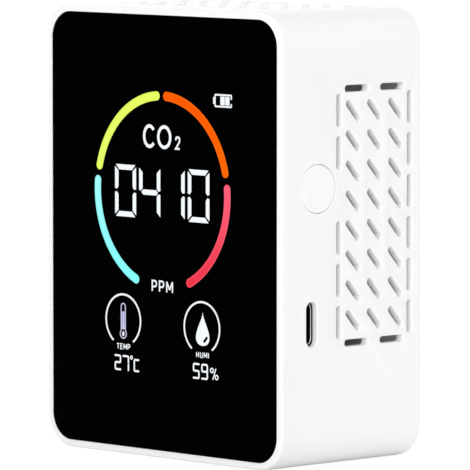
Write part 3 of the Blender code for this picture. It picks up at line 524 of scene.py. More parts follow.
def slotBlocks(slots, centre, surface, facing):
    profile = mouthProfile(0.0, surface - shell["wall"] - shell["spare"], surface, shell["slotLip"], 1, 4)
    blocks = []
    for across, along, angle, length in slots:
        half = grille["endWidth" if angle == 0.0 else "cutWidth"] / 2
        outline = turned(roundedOutline(length / 2, half, half, grille["slotSteps"]), angle)
        blocks.append(swept(outline + (across + centre[0], along + centre[1]), profile, facing))
    return joined(blocks)


def grilleCentre(columns):
    return rearY - grille["rearMargin"] - columns * grille["pitch"] / 2 - grille["dashMargin"]


def bodyOutline(inset):
    corner = shell["corner"] - inset
    outline = roundedOutline(sideX - inset, midZ - inset, corner, shell["cornerSteps"], shell["hold"])
    return outline + (0.0, midZ)


def roundPegs(places, radius, low, high, steps=32):
    outline = circleOutline(radius, steps)
    return joined([swept(outline + place, [[0, low], [0, high]], facingFront) for place in places])


def nodeCentres(prefix):
    return [middleOf(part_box(f"{prefix}_{number}"), 0, 2) for number in range(1, 5)]


usbLow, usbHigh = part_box("usb_shell")
usbAt, usbHalf = middleOf((usbLow, usbHigh), 1, 2), halfOf((usbLow, usbHigh), 1, 2)
socket = {
    "slotHalf": (1.45 * mm, 4.55 * mm), "steps": 12, "web": 1.3 * mm, "pocketGap": 1.2 * mm,
    "sheet": 0.3 * mm, "mouthBack": 0.15 * mm, "baseDepth": 1.5 * mm,
    "bladeHalf": (0.35 * mm, 3.3 * mm), "bladeCorner": 0.2 * mm, "bladeRoot": 0.5 * mm,
    "bladeRound": 0.15 * mm, "bladeSteps": 4, "bladeHold": 0.05 * mm,
    "padCount": 12, "padPitch": 0.5 * mm, "padHalf": (1.3 * mm, 0.13 * mm), "padCorner": 0.08 * mm,
    "padBack": 0.9 * mm, "padProud": 0.02 * mm, "padRound": 0.01 * mm, "padSteps": 2,
}


def makeHousing():
    spare, outline = shell["spare"], bodyOutline(0.0)
    rims = shell["frontRound"], shell["rearRound"], shell["roundSteps"], shell["hold"]
    piece = meshObject("housingShell", swept(outline, blockProfile(frontY, rearY, *rims), facingFront))
    recess = mouthProfile(shell["rim"], ledgeFront, frontY, shell["lip"], -1)
    carve(piece, swept(outline, recess, facingFront))
    cavity = mouthProfile(shell["wall"], ledgeBack, rearY, shell["lip"], 1)
    carve(piece, swept(outline, cavity, facingFront))
    glassLow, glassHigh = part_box("lcd_glass")
    halfU = glassHigh.x + shell["seatGap"]
    halfV = (glassHigh.z - glassLow.z) / 2 + shell["seatGap"]
    window = roundedOutline(halfU, halfV, shell["seatGap"], 4) + (0.0, midZ)
    carve(piece, swept(window, [[0, ledgeFront - spare], [0, ledgeBack + spare]], facingFront))

    posts, bosses = nodeCentres("rear_screw"), nodeCentres("board_screw")
    root = (ledgeFront + ledgeBack) / 2
    postEnd = coverFront - shell["seatGap"]
    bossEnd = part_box("main_board")[0].y - shell["seatGap"]
    carve(piece, roundPegs(posts, shell["postRadius"], root, postEnd), "UNION")
    wallX = sideX - shell["wall"] / 2
    webs = []
    for x, z in posts:
        middle, halfWidth = (x + math.copysign(wallX, x)) / 2, (wallX - abs(x)) / 2
        web = roundedOutline(halfWidth, shell["webHalf"], shell["webHalf"] / 4, 2) + (middle, z)
        webs.append(swept(web, [[0, root], [0, postEnd - spare]], facingFront))
    carve(piece, joined(webs), "UNION")
    carve(piece, roundPegs(bosses, shell["bossRadius"], root, bossEnd), "UNION")
    carve(piece, roundPegs(posts, shell["postPilot"], postEnd - shell["pilotDepth"], postEnd + spare))
    carve(piece, roundPegs(bosses, shell["bossPilot"], ledgeFront + shell["bossFloor"], bossEnd + spare))

    behind = sideX - 3 * spare
    hole = circleOutline(button["radius"] + button["gap"], button["steps"]) + buttonAt
    carve(piece, swept(hole, mouthProfile(0.0, behind, sideX, shell["holeLip"], 1), facingRight))
    halfY, halfZ = (half + socket["pocketGap"] for half in usbHalf)
    pocket = roundedOutline(halfY, halfZ, halfY, socket["steps"]) + usbAt
    carve(piece, swept(pocket, [[0, behind], [0, sideX - socket["web"]]], facingRight))
    slot = roundedOutline(*socket["slotHalf"], socket["slotHalf"][0], socket["steps"]) + usbAt
    carve(piece, swept(slot, mouthProfile(0.0, behind, sideX, shell["slotLip"], 1), facingRight))

    sideAt = (grilleCentre(grille["sideColumns"]), grille["height"])
    topAt = (grilleCentre(grille["topColumns"]), 0.0)
    slots = grilleSlots(grille["sideColumns"])
    carve(piece, slotBlocks(clearOfButton(slots, sideAt), sideAt, sideX, facingRight))
    carve(piece, slotBlocks(slots, sideAt, sideX, facingLeft))
    carve(piece, slotBlocks(grilleSlots(grille["topColumns"]), topAt, topZ, facingTop))
    settle(piece, "whiteShell", stands=("front_housing",))
    print("housing:", len(piece.data.polygons), "faces")


makeHousing()


# Front panel: polished plate in the rim

panel = {"edge": 0.1 * mm, "backEdge": 0.05 * mm, "steps": 5, "hold": 0.1 * mm, "gap": 0.05 * mm}
panelLow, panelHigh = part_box("front_lens")


def makePanel():
    rims = panel["edge"], panel["backEdge"], panel["steps"], panel["hold"]
    profile = blockProfile(panelLow.y, panelHigh.y, *rims)
    piece = meshObject("frontPanel", swept(bodyOutline(shell["rim"] + panel["gap"]), profile, facingFront))
    settle(piece, "blackLens", stands=("front_lens",), crease=25.0)
    print("front panel ready")


makePanel()


# Power button: cap turned round its axis, with a shallow dish let into its face

def makeButton():
    radius, faceX = button["radius"], buttonHigh.x
    rim = rimRound(button["edge"], faceX, -1, 6)
    flat = radius - button["edge"] - button["flatGap"]
    away = np.linspace(button["dishStart"], 1.0, button["rows"]) * flat
    # The dish falls by a smooth step between its radius and its radius less the soft band
    share = np.clip((button["dishRadius"] - away) / button["dishSoft"], 0.0, 1.0)
    face = np.stack([radius - away, faceX - button["dishDepth"] * share ** 2 * (3 - 2 * share)], axis=1)
    backX = sideX - shell["wall"] - shell["seatGap"] - button["earThick"]
    collarX = faceX - button["collarDepth"]
    collar, stem = -button["collar"], radius - button["stemRadius"]
    back = [
        [0.0, collarX], [collar, collarX], [collar, backX], [stem, backX],
        [stem, buttonLow.x], [radius - button["axisGap"], buttonLow.x],
    ]
    outline = circleOutline(radius, button["steps"]) + buttonAt
    piece = meshObject("buttonCap", swept(outline, np.concatenate([face, rim, back]), facingRight))
    settle(piece, "whiteCap", "button", ("power_button",), crease=20.0)

    # Two ears behind the wall keep the cap in its hole
    halfZ = halfOf(buttonBox, 1, 2)[1]
    ears = []
    for side in (-1, 1):
        inner = math.sqrt(radius ** 2 - button["earHalfY"] ** 2) - button["earOverlap"]
        earHalf = (halfZ - inner) / 2
        outline = roundedOutline(button["earHalfY"], earHalf, button["earRound"], 4)
        outline = outline + (buttonAt[0], buttonAt[1] + side * (inner + earHalf))
        ears.append(swept(outline, [[0, backX], [0, backX + button["earThick"]]], facingRight))
    settle(meshObject("buttonEars", joined(ears)), "whiteCap", "button")
    print("button ready")


makeButton()


# Charging socket: drawn shell with a rolled mouth, and the blade with its contact pads

def makeSocket():
    outline = roundedOutline(*usbHalf, usbHalf[0], socket["steps"]) + usbAt
    turn = np.linspace(-math.pi / 2, math.pi / 2, 9)
    half = socket["sheet"] / 2
    mouthX = usbHigh.x - socket["mouthBack"]
    lip = np.stack([half + half * np.sin(turn), mouthX - half + half * np.cos(turn)], axis=1)
    loop = np.concatenate([[[0.0, usbLow.x]], lip, [[socket["sheet"], usbLow.x]]])
    piece = meshObject("socketShell", placed(sweptBlock(outline, loop, closed=True), facingRight))
    settle(piece, "socketSteel", stands=("usb_shell",), crease=30.0)

    tongueLow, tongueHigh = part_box("usb_tongue")
    halfY, halfZ = halfOf((tongueLow, tongueHigh), 1, 2)
    base = roundedOutline(halfY, halfZ, halfY, 8) + usbAt
    baseEnd = tongueLow.x + socket["baseDepth"]
    piece = meshObject("socketBlade", swept(base, [[0, tongueLow.x], [0, baseEnd]], facingRight))
    blade = roundedOutline(*socket["bladeHalf"], socket["bladeCorner"], 4) + usbAt
    rims = 0.0, socket["bladeRound"], socket["bladeSteps"], socket["bladeHold"]
    profile = blockProfile(baseEnd - socket["bladeRoot"], tongueHigh.x, *rims)[socket["bladeSteps"]:]
    carve(piece, swept(blade, profile, facingRight), "UNION")
    settle(piece, "blackResin", stands=("usb_tongue",), crease=25.0)

    pads = []
    padX = tongueHigh.x - socket["padBack"] - socket["padHalf"][0]
    surface, proud = socket["bladeHalf"][0], socket["padProud"]
    rims = 0.0, socket["padRound"], socket["padSteps"], 0.0
    profile = blockProfile(surface - proud, surface + proud, *rims)[socket["padSteps"]:]
    pad = roundedOutline(*socket["padHalf"], socket["padCorner"], 3)
    for face in (-1, 1):
        facing = np.array([[1, 0, 0], [0, 0, 1], [0, face, 0]])
        for rise in evenRow(socket["padCount"], socket["padPitch"]):
            block = sweptBlock(pad + (padX, usbAt[1] + rise), profile)
            pads.append(placed(block, facing, (0, usbAt[0], 0)))
    settle(meshObject("socketPads", joined(pads)), "contactGold", crease=25.0)
    print("charging socket ready")


makeSocket()


# Rear cover and its screws

cover = {
    "corner": 4.7 * mm, "rearEdge": 0.3 * mm, "frontEdge": 0.1 * mm, "steps": 4, "hold": 0.1 * mm,
    "boreRadius": 2.5 * mm, "boreSteps": 48, "boreFloor": 1.0 * mm, "boreLip": 0.2 * mm, "holeRadius": 1.4 * mm,
}
screw = {
    "headRadius": 2.2 * mm, "headRise": 1.1 * mm, "domeRound": 0.5 * mm, "axisGap": 0.05 * mm,
    "shankRadius": 1.1 * mm, "steps": 64,
    "crossReach": 1.15 * mm, "crossHalf": 0.26 * mm, "crossDepth": 0.75 * mm, "crossTaper": 0.12 * mm,
}


def makeCover():
    low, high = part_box("rear_cover")
    halfV = (high.z - low.z) / 2
    outline = roundedOutline(high.x, halfV, cover["corner"], shell["cornerSteps"], shell["hold"]) + (0.0, midZ)
    profile = blockProfile(low.y, high.y, cover["frontEdge"], cover["rearEdge"], cover["steps"], cover["hold"])
    piece = meshObject("backPlate", swept(outline, profile, facingFront))
    places = nodeCentres("rear_screw")
    carve(piece, roundPegs(places, cover["holeRadius"], low.y - shell["spare"], high.y))
    bore = mouthProfile(0.0, low.y + cover["boreFloor"], high.y, cover["boreLip"], 1, 4)
    outline = circleOutline(cover["boreRadius"], cover["boreSteps"])
    carve(piece, joined([swept(outline + at, bore, facingFront) for at in places]))
    settle(piece, "whiteShell", stands=("rear_cover",))
    print("rear cover ready")


def makeScrews():
    for number in range(1, 5):
        box = low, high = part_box(f"rear_screw_{number}")
        at = np.array(middleOf(box, 0, 2))
        top, seat = high.y, high.y - screw["headRise"]
        radius = screw["headRadius"]
        head = rimRound(screw["domeRound"], top, -1, 6)[::-1]
        inset = radius - screw["shankRadius"]
        shank = [[inset, low.y], [inset, seat], [0.0, seat]]
        profile = np.concatenate([shank, head, [[radius - screw["axisGap"], top]]])
        outline = circleOutline(radius, screw["steps"]) + at
        piece = meshObject(f"rearScrew{number}", swept(outline, profile, facingFront))
        reach, half = screw["crossReach"], screw["crossHalf"]
        # A plus sign: the same arm end turned four times
        arm = np.array([[reach, -half], [reach, half], [half, half]])
        quarter = np.array([[0.0, 1.0], [-1.0, 0.0]])
        plus = np.concatenate([arm @ np.linalg.matrix_power(quarter, k) for k in range(4)])
        sunk = [[screw["crossTaper"], top - screw["crossDepth"]], [0.0, top], [0.0, top + shell["spare"]]]
        carve(piece, swept(plus + at, sunk, facingFront))
        settle(piece, "screwZinc", stands=(f"rear_screw_{number}",), crease=25.0)
    print("rear screws ready")


makeCover()
makeScrews()


# Display: lit strokes and plates in a thin layer on the panel's face, in millimetres across and up the front

layer = {
    "sunk": 0.04, "proud": 0.03, "shoulder": 0.015, "soft": 0.05, "capSteps": 6, "capTurn": math.radians(84),
    "spread": 0.988, "shift": -0.2 * mm,
}


def layerDepth(rise):
    return panelLow.y - rise * mm


# Stroke along a path: P(i, j) = path(i) + across(j) * half(i) * side(i), under a low flat bead.
# A round end runs on by half the width while half(i) falls as a quarter circle
def litStroke(path, width, closed=False, roundEnds=True):
    path = np.asarray(path, float)
    half = np.full(len(path), width / 2)
    side = sideways(path, closed)
    if roundEnds and not closed:
        turn = np.linspace(0.0, layer["capTurn"], layer["capSteps"] + 1)[1:]
        ahead = np.array([[-side[0][1], side[0][0]], [side[-1][1], -side[-1][0]]])
        reach, narrow = width / 2 * np.sin(turn), width / 2 * np.cos(turn)
        start, end = path[0] + ahead[0] * reach[::-1, None], path[-1] + ahead[1] * reach[:, None]
        path = np.concatenate([start, path, end])
        half = np.concatenate([narrow[::-1], half, narrow])
        side = np.pad(side, ((len(turn), len(turn)), (0, 0)), "edge")
    soft = min(1.0, 2 * layer["soft"] / width)
    across = np.array([-1.0, -1.0, soft - 1.0, 1.0 - soft, 1.0, 1.0])
    climb = [-layer["sunk"], layer["shoulder"], layer["proud"]]
    rise = np.array(climb + climb[::-1])
    flat = path[:, None] + across[None, :, None] * (half[:, None] * side)[:, None]
    points, faces = gridBlock(flat * mm, layerDepth(rise)[None, :, None], closed)
    return points, faces, np.tile(across, len(path))


# Plate with a softened rim from an outline
def litPlate(outline):
    outline = np.asarray(outline, float)
    before = np.roll(outline, 1, axis=0)
    if (before[:, 0] * outline[:, 1] - before[:, 1] * outline[:, 0]).sum() < 0:
        outline = outline[::-1]
    soft = layer["soft"] * mm
    rise = np.array([-layer["sunk"], layer["shoulder"], layer["proud"]])
    profile = np.stack([[0.0, 0.0, soft], layerDepth(rise)], axis=1)
    points, faces = sweptBlock(outline * mm, profile)
    return points, faces, np.repeat([1.0, 1.0, 0.0], len(outline))


def litPiece(name, parts, finishName):
    points, faces = joined([(part[0] @ facingFront, part[1]) for part in parts])
    points = points * (layer["spread"], 1.0, 1.0) + (layer["shift"], 0.0, 0.0)
    piece = meshObject(name, (points, faces))
    across = piece.data.attributes.new("across", "FLOAT", "POINT")
    across.data.foreach_set("value", np.concatenate([part[2] for part in parts]).astype(np.float32))
    return settle(piece, finishName, crease=35.0)


# Arc of an ellipse: centre + (a cos t, b sin t)
def arcPath(centre, halfU, halfV, start, end, steps):
    t = np.radians(np.linspace(start, end, steps + 1))
    return np.stack([centre[0] + halfU * np.cos(t), centre[1] + halfV * np.sin(t)], axis=1)


def ringPath(centre, halfU, halfV, steps):
    return arcPath(centre, halfU, halfV, 0.0, 360.0, steps)[:-1]


# Straight runs with rounded corners: each row is across, up and the corner's radius.
# A corner is a quadratic curve between the two points where the runs are left and joined
def bentPath(corners, steps=5):
    corners = np.asarray(corners, float)
    path = [corners[:1, :2]]
    for before, here, after in zip(corners[:-2], corners[1:-1], corners[2:]):
        if here[2] == 0.0:
            path.append(here[None, :2])
            continue
        back, ahead = before[:2] - here[:2], after[:2] - here[:2]
        back, ahead = back / np.linalg.norm(back), ahead / np.linalg.norm(ahead)
        t = np.linspace(0.0, 1.0, steps + 1)[:, None]
        path.append(here[:2] + here[2] * (back * (1 - t) ** 2 + ahead * t ** 2))
    path.append(corners[-1:, :2])
    return np.concatenate(path)


def litRing(centre, half, stroke, steps):
    return litStroke(ringPath(centre, half, half, steps), stroke, closed=True)


def boxOutline(left, low, right, high):
    return [(left, low), (right, low), (right, high), (left, high)]


signWhite = (247, 252, 255)
signs = {
    "whiteSign": (signWhite, signWhite, (226, 228, 252)),
    "paleSign": ((206, 204, 234), (222, 221, 242), (176, 173, 222)),
    "lavenderSign": ((166, 162, 214), (180, 177, 220), (150, 146, 204)),
    "coreSign": ((240, 240, 250), (208, 208, 230), (205, 203, 232), 25.5 * mm, 27.0 * mm),
}
finishes.update({name: litFinish(name, *row) for name, row in signs.items()})

ring = {"centre": (0.0, 54.36), "half": (19.58, 19.76), "stroke": 1.88, "steps": 48, "edgeShare": 0.35}
# Start and end in degrees, and the low, high and edge colours
ringArcs = {
    "poorArc": (86.0, 14.4, (255, 102, 0), (252, 92, 0), (255, 130, 30)),
    "fairArc": (94.6, 166.0, (230, 255, 106), (234, 255, 100), (196, 228, 76)),
    "goodArc": (175.0, 246.4, (138, 255, 254), (160, 255, 254), (118, 228, 228)),
    "badArc": (5.0, -65.0, (240, 56, 78), (255, 92, 117), (255, 128, 140)),
}


def makeRing():
    for name, (start, end, *colours) in ringArcs.items():
        path = arcPath(ring["centre"], *ring["half"], start, end, ring["steps"])
        low, high = path[:, 1].min() * mm, path[:, 1].max() * mm
        finishes[name + "Light"] = litFinish(name + "Light", *colours, low, high, ring["edgeShare"])
        litPiece(name, [litStroke(path, ring["stroke"])], name + "Light")
    print("display ring ready")


# Large digits of seven bars each, cut at 45 degrees where bars meet
digits = {
    "reading": "0410", "centre": (0.0, 54.25), "pitch": 7.36, "half": (3.22, 5.35), "bar": 1.08, "post": 1.05,
    "barEnd": 0.27, "barInner": 1.27, "postTop": 0.43, "postInnerTop": 1.33, "postFoot": 0.42,
    "postTip": (0.60, 0.26), "postInnerFoot": 0.82, "middleEnd": 0.72,
}
bars = {"0": "abcdef", "1": "bc", "4": "fgbc"}


def digitBars():
    u, v = digits["half"]
    bar, post, half = digits["bar"], digits["post"], digits["bar"] / 2
    end, inner, middle = digits["barEnd"], digits["barInner"], digits["middleEnd"]
    top = np.array([(u - end, v), (end - u, v), (inner - u, v - bar), (u - inner, v - bar)])
    upper = np.array([
        (u, v - digits["postTop"]), (u - post, v - digits["postInnerTop"]), (u - post, digits["postInnerFoot"]),
        (u - digits["postTip"][0], digits["postTip"][1]), (u, digits["postFoot"]),
    ])
    bridge = np.array([
        (u - middle, 0), (u - middle - half, half), (middle + half - u, half),
        (middle - u, 0), (middle + half - u, -half), (u - middle - half, -half),
    ])
    flipU, flipV = np.array([-1, 1]), np.array([1, -1])
    return {
        "a": top, "b": upper, "c": upper * flipV, "d": top * flipV,
        "e": upper * flipU * flipV, "f": upper * flipU, "g": bridge,
    }


def makeDigits():
    shapes = digitBars()
    reading = digits["reading"]
    parts = []
    for shift, digit in zip(evenRow(len(reading), digits["pitch"]), reading):
        centre = np.array(digits["centre"]) + (shift, 0.0)
        parts += [litPlate(shapes[bar] + centre) for bar in bars[digit]]
    litPiece("bigDigits", parts, "whiteSign")
    print("digits ready")


# Letters as strokes, in units of the letter's height: rows of across, up and corner radius
letters = {
    "P": (0.58, [[(0, 0, 0), (0, 1, 0), (0.58, 1, 0.26), (0.58, 0.44, 0.26), (0.1, 0.44, 0)]]),
    "M": (0.80, [[(0, 0, 0), (0, 1, 0.1), (0.40, 0.25, 0.1), (0.80, 1, 0.1), (0.80, 0, 0)]]),
    "T": (0.66, [[(0, 1, 0), (0.66, 1, 0)], [(0.33, 0.9, 0), (0.33, 0, 0)]]),
    "E": (0.54, [[(0.54, 1, 0), (0, 1, 0), (0, 0, 0), (0.54, 0, 0)], [(0.1, 0.52, 0), (0.46, 0.52, 0)]]),
    "H": (0.62, [[(0, 0, 0), (0, 1, 0)], [(0.62, 0, 0), (0.62, 1, 0)], [(0.1, 0.5, 0), (0.52, 0.5, 0)]]),
    "U": (0.60, [[(0, 1, 0), (0, 0, 0.29), (0.60, 0, 0.29), (0.60, 1, 0)]]),
    "I": (0.0, [[(0, 0, 0), (0, 1, 0)]]),
    "2": (0.58, [[
        (0.02, 0.72, 0), (0.02, 1, 0.22), (0.56, 1, 0.22), (0.56, 0.62, 0.1), (0, 0, 0), (0.58, 0, 0),
    ]]),
}
# Left, low, right, height and stroke
labels = {
    "PPM": (-3.12, 33.95, 3.36, 2.5, 0.37), "TEMP": (-13.85, 21.45, -9.7, 1.25, 0.22),
    "HUMI": (10.3, 21.45, 14.1, 1.25, 0.22), "2": (4.0, 63.35, 5.6, 2.75, 0.42),
}


def labelStrokes(text, left, low, right, height, stroke):
    tall = height - stroke
    widths = np.array([letters[letter][0] for letter in text])
    room = right - left - stroke
    gap = (room - widths.sum() * tall) / max(1, len(text) - 1)
    starts = left + stroke / 2 + np.concatenate([[0.0], np.cumsum(widths[:-1] * tall + gap)])
    stretch = room / (widths[0] * tall) if len(text) == 1 else 1.0
    parts = []
    for start, letter in zip(starts, text):
        for corners in letters[letter][1]:
            rows = np.array(corners, float) * tall * (stretch, 1, min(1.0, stretch))
            rows = rows + (start, low + stroke / 2, 0.0)
            parts.append(litStroke(bentPath(rows), stroke, roundEnds=False))
    return parts


gasName = {
    "cSpan": (-5.52, -1.92), "oSpan": (-1.4, 2.9), "low": 63.31, "high": 68.19, "stroke": 0.70,
    "cStretch": 1.12, "cTurn": (40, 320), "cSteps": 48, "oSteps": 64,
}


def makeLabels():
    stroke = gasName["stroke"]
    up, halfV = (gasName["low"] + gasName["high"]) / 2, (gasName["high"] - gasName["low"] - stroke) / 2
    spans = gasName["cSpan"], gasName["oSpan"]
    cMiddle, oMiddle = ((left + right) / 2 for left, right in spans)
    cHalf, oHalf = ((right - left - stroke) / 2 for left, right in spans)
    cPath = arcPath((cMiddle, up), cHalf * gasName["cStretch"], halfV, *gasName["cTurn"], gasName["cSteps"])
    oPath = ringPath((oMiddle, up), oHalf, halfV, gasName["oSteps"])
    parts = [litStroke(cPath, stroke, roundEnds=False), litStroke(oPath, stroke, closed=True)]
    for text, row in labels.items():
        parts += labelStrokes(text, *row)
    litPiece("displayLabels", parts, "whiteSign")
    print("labels ready")


# Small readings in rounded strokes: rows of across, up and corner radius in millimetres
smallDigits = {
    "2": [[
        (0.05, 2.85, 0), (1.65, 2.85, 0.35), (1.65, 1.45, 0.35),
        (0.05, 1.45, 0.35), (0.05, 0, 0.35), (1.65, 0, 0),
    ]],
    "7": [[(0.05, 2.85, 0), (1.65, 2.85, 0.3), (1.65, 1.62, 0)], [(1.65, 1.2, 0), (1.65, 0, 0)]],
    "5": [[
        (1.65, 2.85, 0), (0.05, 2.85, 0.35), (0.05, 1.45, 0.35),
        (1.65, 1.45, 0.35), (1.65, 0, 0.35), (0.05, 0, 0),
    ]],
    "9": [[
        (1.36, 1.45, 0), (0.05, 1.45, 0.35), (0.05, 2.85, 0.35),
        (1.65, 2.85, 0.35), (1.65, 0, 0.35), (0.05, 0, 0),
    ]],
    "C": [[(1.3, 2.3, 0), (0, 2.3, 0.35), (0, 0, 0.35), (1.3, 0, 0)]],
    "slash": [[(1.6, 2.1, 0), (0.75, 0, 0)]],
}
smallReadings = {
    "stroke": 0.40, "low": 17.29,
    "places": (("2", -14.34), ("7", -11.9), ("C", -8.46), ("5", 9.47), ("9", 11.97)),
}
percent = {
    "at": (14.55, 17.4), "rings": ((0.45, 1.75), (1.85, 0.42)), "half": 0.42, "stroke": 0.28, "steps": 24,
}
degree = {"centre": (-9.33, 19.98), "half": 0.30, "stroke": 0.26, "steps": 20}


def makeReadings():
    parts = []
    for name, left in smallReadings["places"]:
        for corners in smallDigits[name]:
            rows = np.array(corners) + (left, smallReadings["low"], 0.0)
            parts.append(litStroke(bentPath(rows), smallReadings["stroke"]))
    slash = np.array(smallDigits["slash"][0]) + (*percent["at"], 0.0)
    parts.append(litStroke(bentPath(slash), percent["stroke"]))
    for shift in percent["rings"]:
        centre = np.add(percent["at"], shift)
        parts.append(litRing(centre, percent["half"], percent["stroke"], percent["steps"]))
    parts.append(litRing(degree["centre"], degree["half"], degree["stroke"], degree["steps"]))
    litPiece("smallReadings", parts, "whiteSign")
    print("small readings ready")


# Gauge rings, thermometer, drop and battery sign
gauge = {
    "centres": ((-11.81, 27.56), (12.0, 27.56)), "half": (5.27, 5.27), "stroke": 0.42, "turn": (-53.5, 233.5),
    "steps": 72,
}
thermometer = {
    "across": -11.81, "top": 31.1, "bulb": 24.72, "tubeHalf": 0.64, "bulbHalf": 0.92, "stroke": 0.26,
    "level": 29.3, "core": 0.17, "pearl": (0.36, 0.52), "gap": 0.02,
}
drop = {"across": 12.25, "top": 30.69, "low": 23.94, "half": 2.0, "power": 2.1, "steps": 72}
glint = {"centre": (13.1, 25.25), "half": (0.85, 0.3), "angle": math.radians(45), "steps": 4, "cut": 0.1}
battery = {
    "left": 15.95, "right": 20.75, "low": 72.68, "high": 75.02, "stroke": 0.35, "corner": 0.2,
    "break": (73.3, 74.15), "nub": (15.4, 73.15, 15.74, 74.55),
    "cells": ((17.53, 72.98, 18.80, 74.72), (18.98, 72.98, 20.22, 74.72)),
}


def makeGauges():
    paths = [arcPath(centre, *gauge["half"], *gauge["turn"], gauge["steps"]) for centre in gauge["centres"]]
    litPiece("gaugeRings", [litStroke(path, gauge["stroke"]) for path in paths], "whiteSign")


# Tube and bulb share one outline: a half circle, two straight sides and the rest of the bulb's circle
def makeThermometer():
    u, tube, bulb = thermometer["across"], thermometer["tubeHalf"], thermometer["bulbHalf"]
    stroke, level, half, gap = (thermometer[key] for key in ("stroke", "level", "core", "gap"))
    neck = math.degrees(math.acos(tube / bulb))
    cap = arcPath((u, thermometer["top"] - stroke / 2 - tube), tube, tube, 0, 180, 16)
    foot = arcPath((u, thermometer["bulb"]), bulb, bulb, 180 - neck, 360 + neck, 32)
    litPiece("thermometerTube", [litStroke(np.concatenate([cap, foot]), stroke, True)], "paleSign")
    low = thermometer["bulb"] + bulb
    near, far = half + gap, tube - stroke / 2 - gap
    spans = (-far, -near), (near, far)
    sides = [litPlate(boxOutline(u + start, low, u + end, level)) for start, end in spans]
    litPiece("thermometerSides", sides, "lavenderSign")
    core = litPlate(boxOutline(u - half, low, u + half, level))
    pearl = litPlate(ringPath((u, thermometer["bulb"]), *thermometer["pearl"], 24))
    litPiece("thermometerCore", [core, pearl], "coreSign")


# Drop: across = half sin t sin(t/2)^power, up = cos t, pointed at t = 0 and round at t = pi
def makeDrop():
    t = np.linspace(0.0, 2 * math.pi, drop["steps"], endpoint=False)
    width = np.sin(t) * np.abs(np.sin(t / 2)) ** drop["power"]
    middle, reach = (drop["top"] + drop["low"]) / 2, (drop["top"] - drop["low"]) / 2
    across = drop["across"] - drop["half"] * width / width.max()
    outline = np.stack([across, middle + reach * np.cos(t)], axis=1)
    piece = litPiece("humidityDrop", [litPlate(outline)], "whiteSign")
    mark = roundedOutline(*glint["half"], glint["half"][1], glint["steps"])
    mark = turned(mark, glint["angle"]) + glint["centre"]
    mark = mark * (layer["spread"], 1.0) + (layer["shift"] / mm, 0.0)
    through = [[0, layerDepth(-glint["cut"])], [0, layerDepth(glint["cut"])]]
    carve(piece, swept(mark * mm, through, facingFront))


def makeBatterySign():
    left, right, low, high, corner = (battery[key] for key in ("left", "right", "low", "high", "corner"))
    corners = [
        (right, battery["break"][1], 0), (right, high, corner), (left, high, corner),
        (left, low, corner), (right, low, corner), (right, battery["break"][0], 0),
    ]
    parts = [litStroke(bentPath(corners), battery["stroke"], roundEnds=False)]
    parts += [litPlate(boxOutline(*sides)) for sides in (battery["nub"], *battery["cells"])]
    litPiece("batterySign", parts, "whiteSign")


for make in (
    makeRing, makeDigits, makeLabels, makeReadings, makeGauges, makeThermometer, makeDrop, makeBatterySign,
):
    make()
print("display ready")


# Inside pieces keep the frame's shapes and take finishes of their own

inside = {
    "gasketFoam": ["lens_gasket"], "frameWhite": ["lcd_frame"], "displayGlass": ["lcd_glass"],
    "lightGuide": ["light_plate"], "stripRubber": ["contact_strip"], "boardMask": ["main_board"],
    "blackResin": ["switch_plunger", "switch_body", "main_chip", "charge_chip", "climate_sensor"],
    "sensorGold": ["co2_chamber"], "filterFelt": ["co2_filter"], "cellFoil": ["battery_cell"],
    "tapeFoam": ["battery_tape"], "socketNylon": ["battery_socket"], "redSleeve": ["battery_lead_red"],
    "blackSleeve": ["battery_lead_black"], "screwZinc": [f"board_screw_{number}" for number in range(1, 5)],
}
for finishName, nodeNames in inside.items():
    for nodeName in nodeNames:
        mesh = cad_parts[nodeName].data
        mesh.materials.clear()
        mesh.materials.append(finishes[finishName])
print("inside pieces finished:", sum(map(len, inside.values())))


# Studio: pale floor, even white surround and three soft lamps

studio = {
    "surround": 0.57, "floorHalf": 6.0, "floorDrop": 0.05 * mm, "floorColour": (0.94, 0.94, 0.94, 1.0),
    "shadowColour": (0.32, 0.32, 0.32, 1.0), "floorGlow": 0.87,
    "lamps": {
        "keyLamp": {"at": (1.12, -1.36, 0.42), "size": 1.6, "level": 0.64},
        "topLamp": {"at": (0.15, 0.25, 2.0), "size": 1.8, "level": 0.14},
        "backLamp": {"at": (-1.2, 1.3, 0.6), "size": 1.6, "level": 0.30},
    },
}


# 1 for what the lens sees directly, in a mirror or through glass, and 0 for light that falls on the object
def seenRays(tree):
    path = addNode(tree, "ShaderNodeLightPath")
    direct = mathNode(tree, "MAXIMUM", path.outputs["Is Camera Ray"], path.outputs["Is Glossy Ray"])
    return mathNode(tree, "MAXIMUM", direct, path.outputs["Is Transmission Ray"])


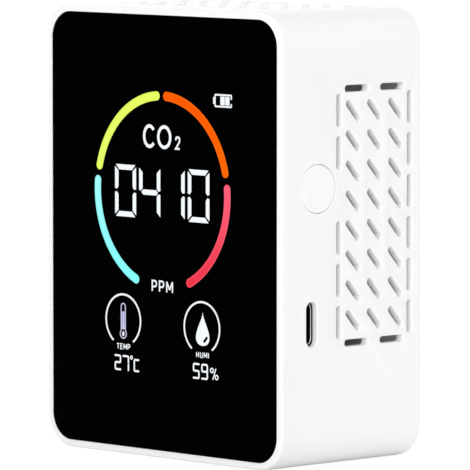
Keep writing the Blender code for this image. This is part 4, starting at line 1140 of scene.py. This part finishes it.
def makeStudio():
    world = bpy.data.worlds.new("whiteSurround")
    bpy.context.scene.world = world
    world.use_nodes = True
    tree = world.node_tree
    values = {"Value": seenRays(tree), "To Min": studio["surround"], "To Max": 1.0}
    level = addNode(tree, "ShaderNodeMapRange", values).outputs[0]
    feed(tree, tree.nodes["Background"].inputs, {"Color": (1.0, 1.0, 1.0, 1.0), "Strength": level})

    half = studio["floorHalf"]
    corners = [(*corner, -studio["floorDrop"]) for corner in boxOutline(-half, -half, half, half)]
    floor = meshObject("floor", (np.array(corners), [[0, 1, 2, 3]]))
    finish = bpy.data.materials.new("paleFloor")
    finish.use_nodes = True
    tree = finish.node_tree
    tree.nodes.remove(tree.nodes["Principled BSDF"])
    plain = addNode(tree, "ShaderNodeBsdfDiffuse", {"Color": studio["floorColour"]}).outputs[0]
    faint = addNode(tree, "ShaderNodeBsdfDiffuse", {"Color": studio["shadowColour"]}).outputs[0]
    glow = addNode(tree, "ShaderNodeEmission", {"Strength": studio["floorGlow"]}).outputs[0]
    shown = addNode(tree, "ShaderNodeAddShader", {0: faint, 1: glow}).outputs[0]
    pick = addNode(tree, "ShaderNodeMixShader", {0: seenRays(tree), 1: plain, 2: shown}).outputs[0]
    feed(tree, tree.nodes["Material Output"].inputs, {"Surface": pick})
    floor.data.materials.append(finish)

    for name, lamp in studio["lamps"].items():
        light = bpy.data.lights.new(name, "AREA")
        light.shape = "DISK"
        light.size = lamp["size"]
        aim = np.array([0.0, 0.0, midZ]) - lamp["at"]
        light.energy = lamp["level"] * math.pi ** 2 * (aim @ aim)  # what lights a white card to that level
        holder = addObject(name, light)
        holder.location = lamp["at"]
        holder.rotation_euler = (math.atan2(math.hypot(*aim[:2]), -aim[2]), 0.0, math.atan2(-aim[0], aim[1]))
    print("studio ready")


viewpoint = {
    "at": (0.8388007, -0.7992092, 0.1395879), "tilt": math.radians(90 - 4.6845), "turn": math.radians(46.3602),
    "sensor": 36.0, "lens": 432.166, "clip": (0.05, 100.0),
}


def makeCamera():
    lens = bpy.data.cameras.new("frontCamera")
    lens.sensor_width = viewpoint["sensor"]
    lens.lens = viewpoint["lens"]
    lens.clip_start, lens.clip_end = viewpoint["clip"]
    holder = addObject("frontCamera", lens)
    holder.location = viewpoint["at"]
    holder.rotation_euler = (viewpoint["tilt"], 0.0, viewpoint["turn"])
    bpy.context.scene.camera = holder


makeStudio()
makeCamera()
bpy.context.scene.view_settings.view_transform = "Standard"
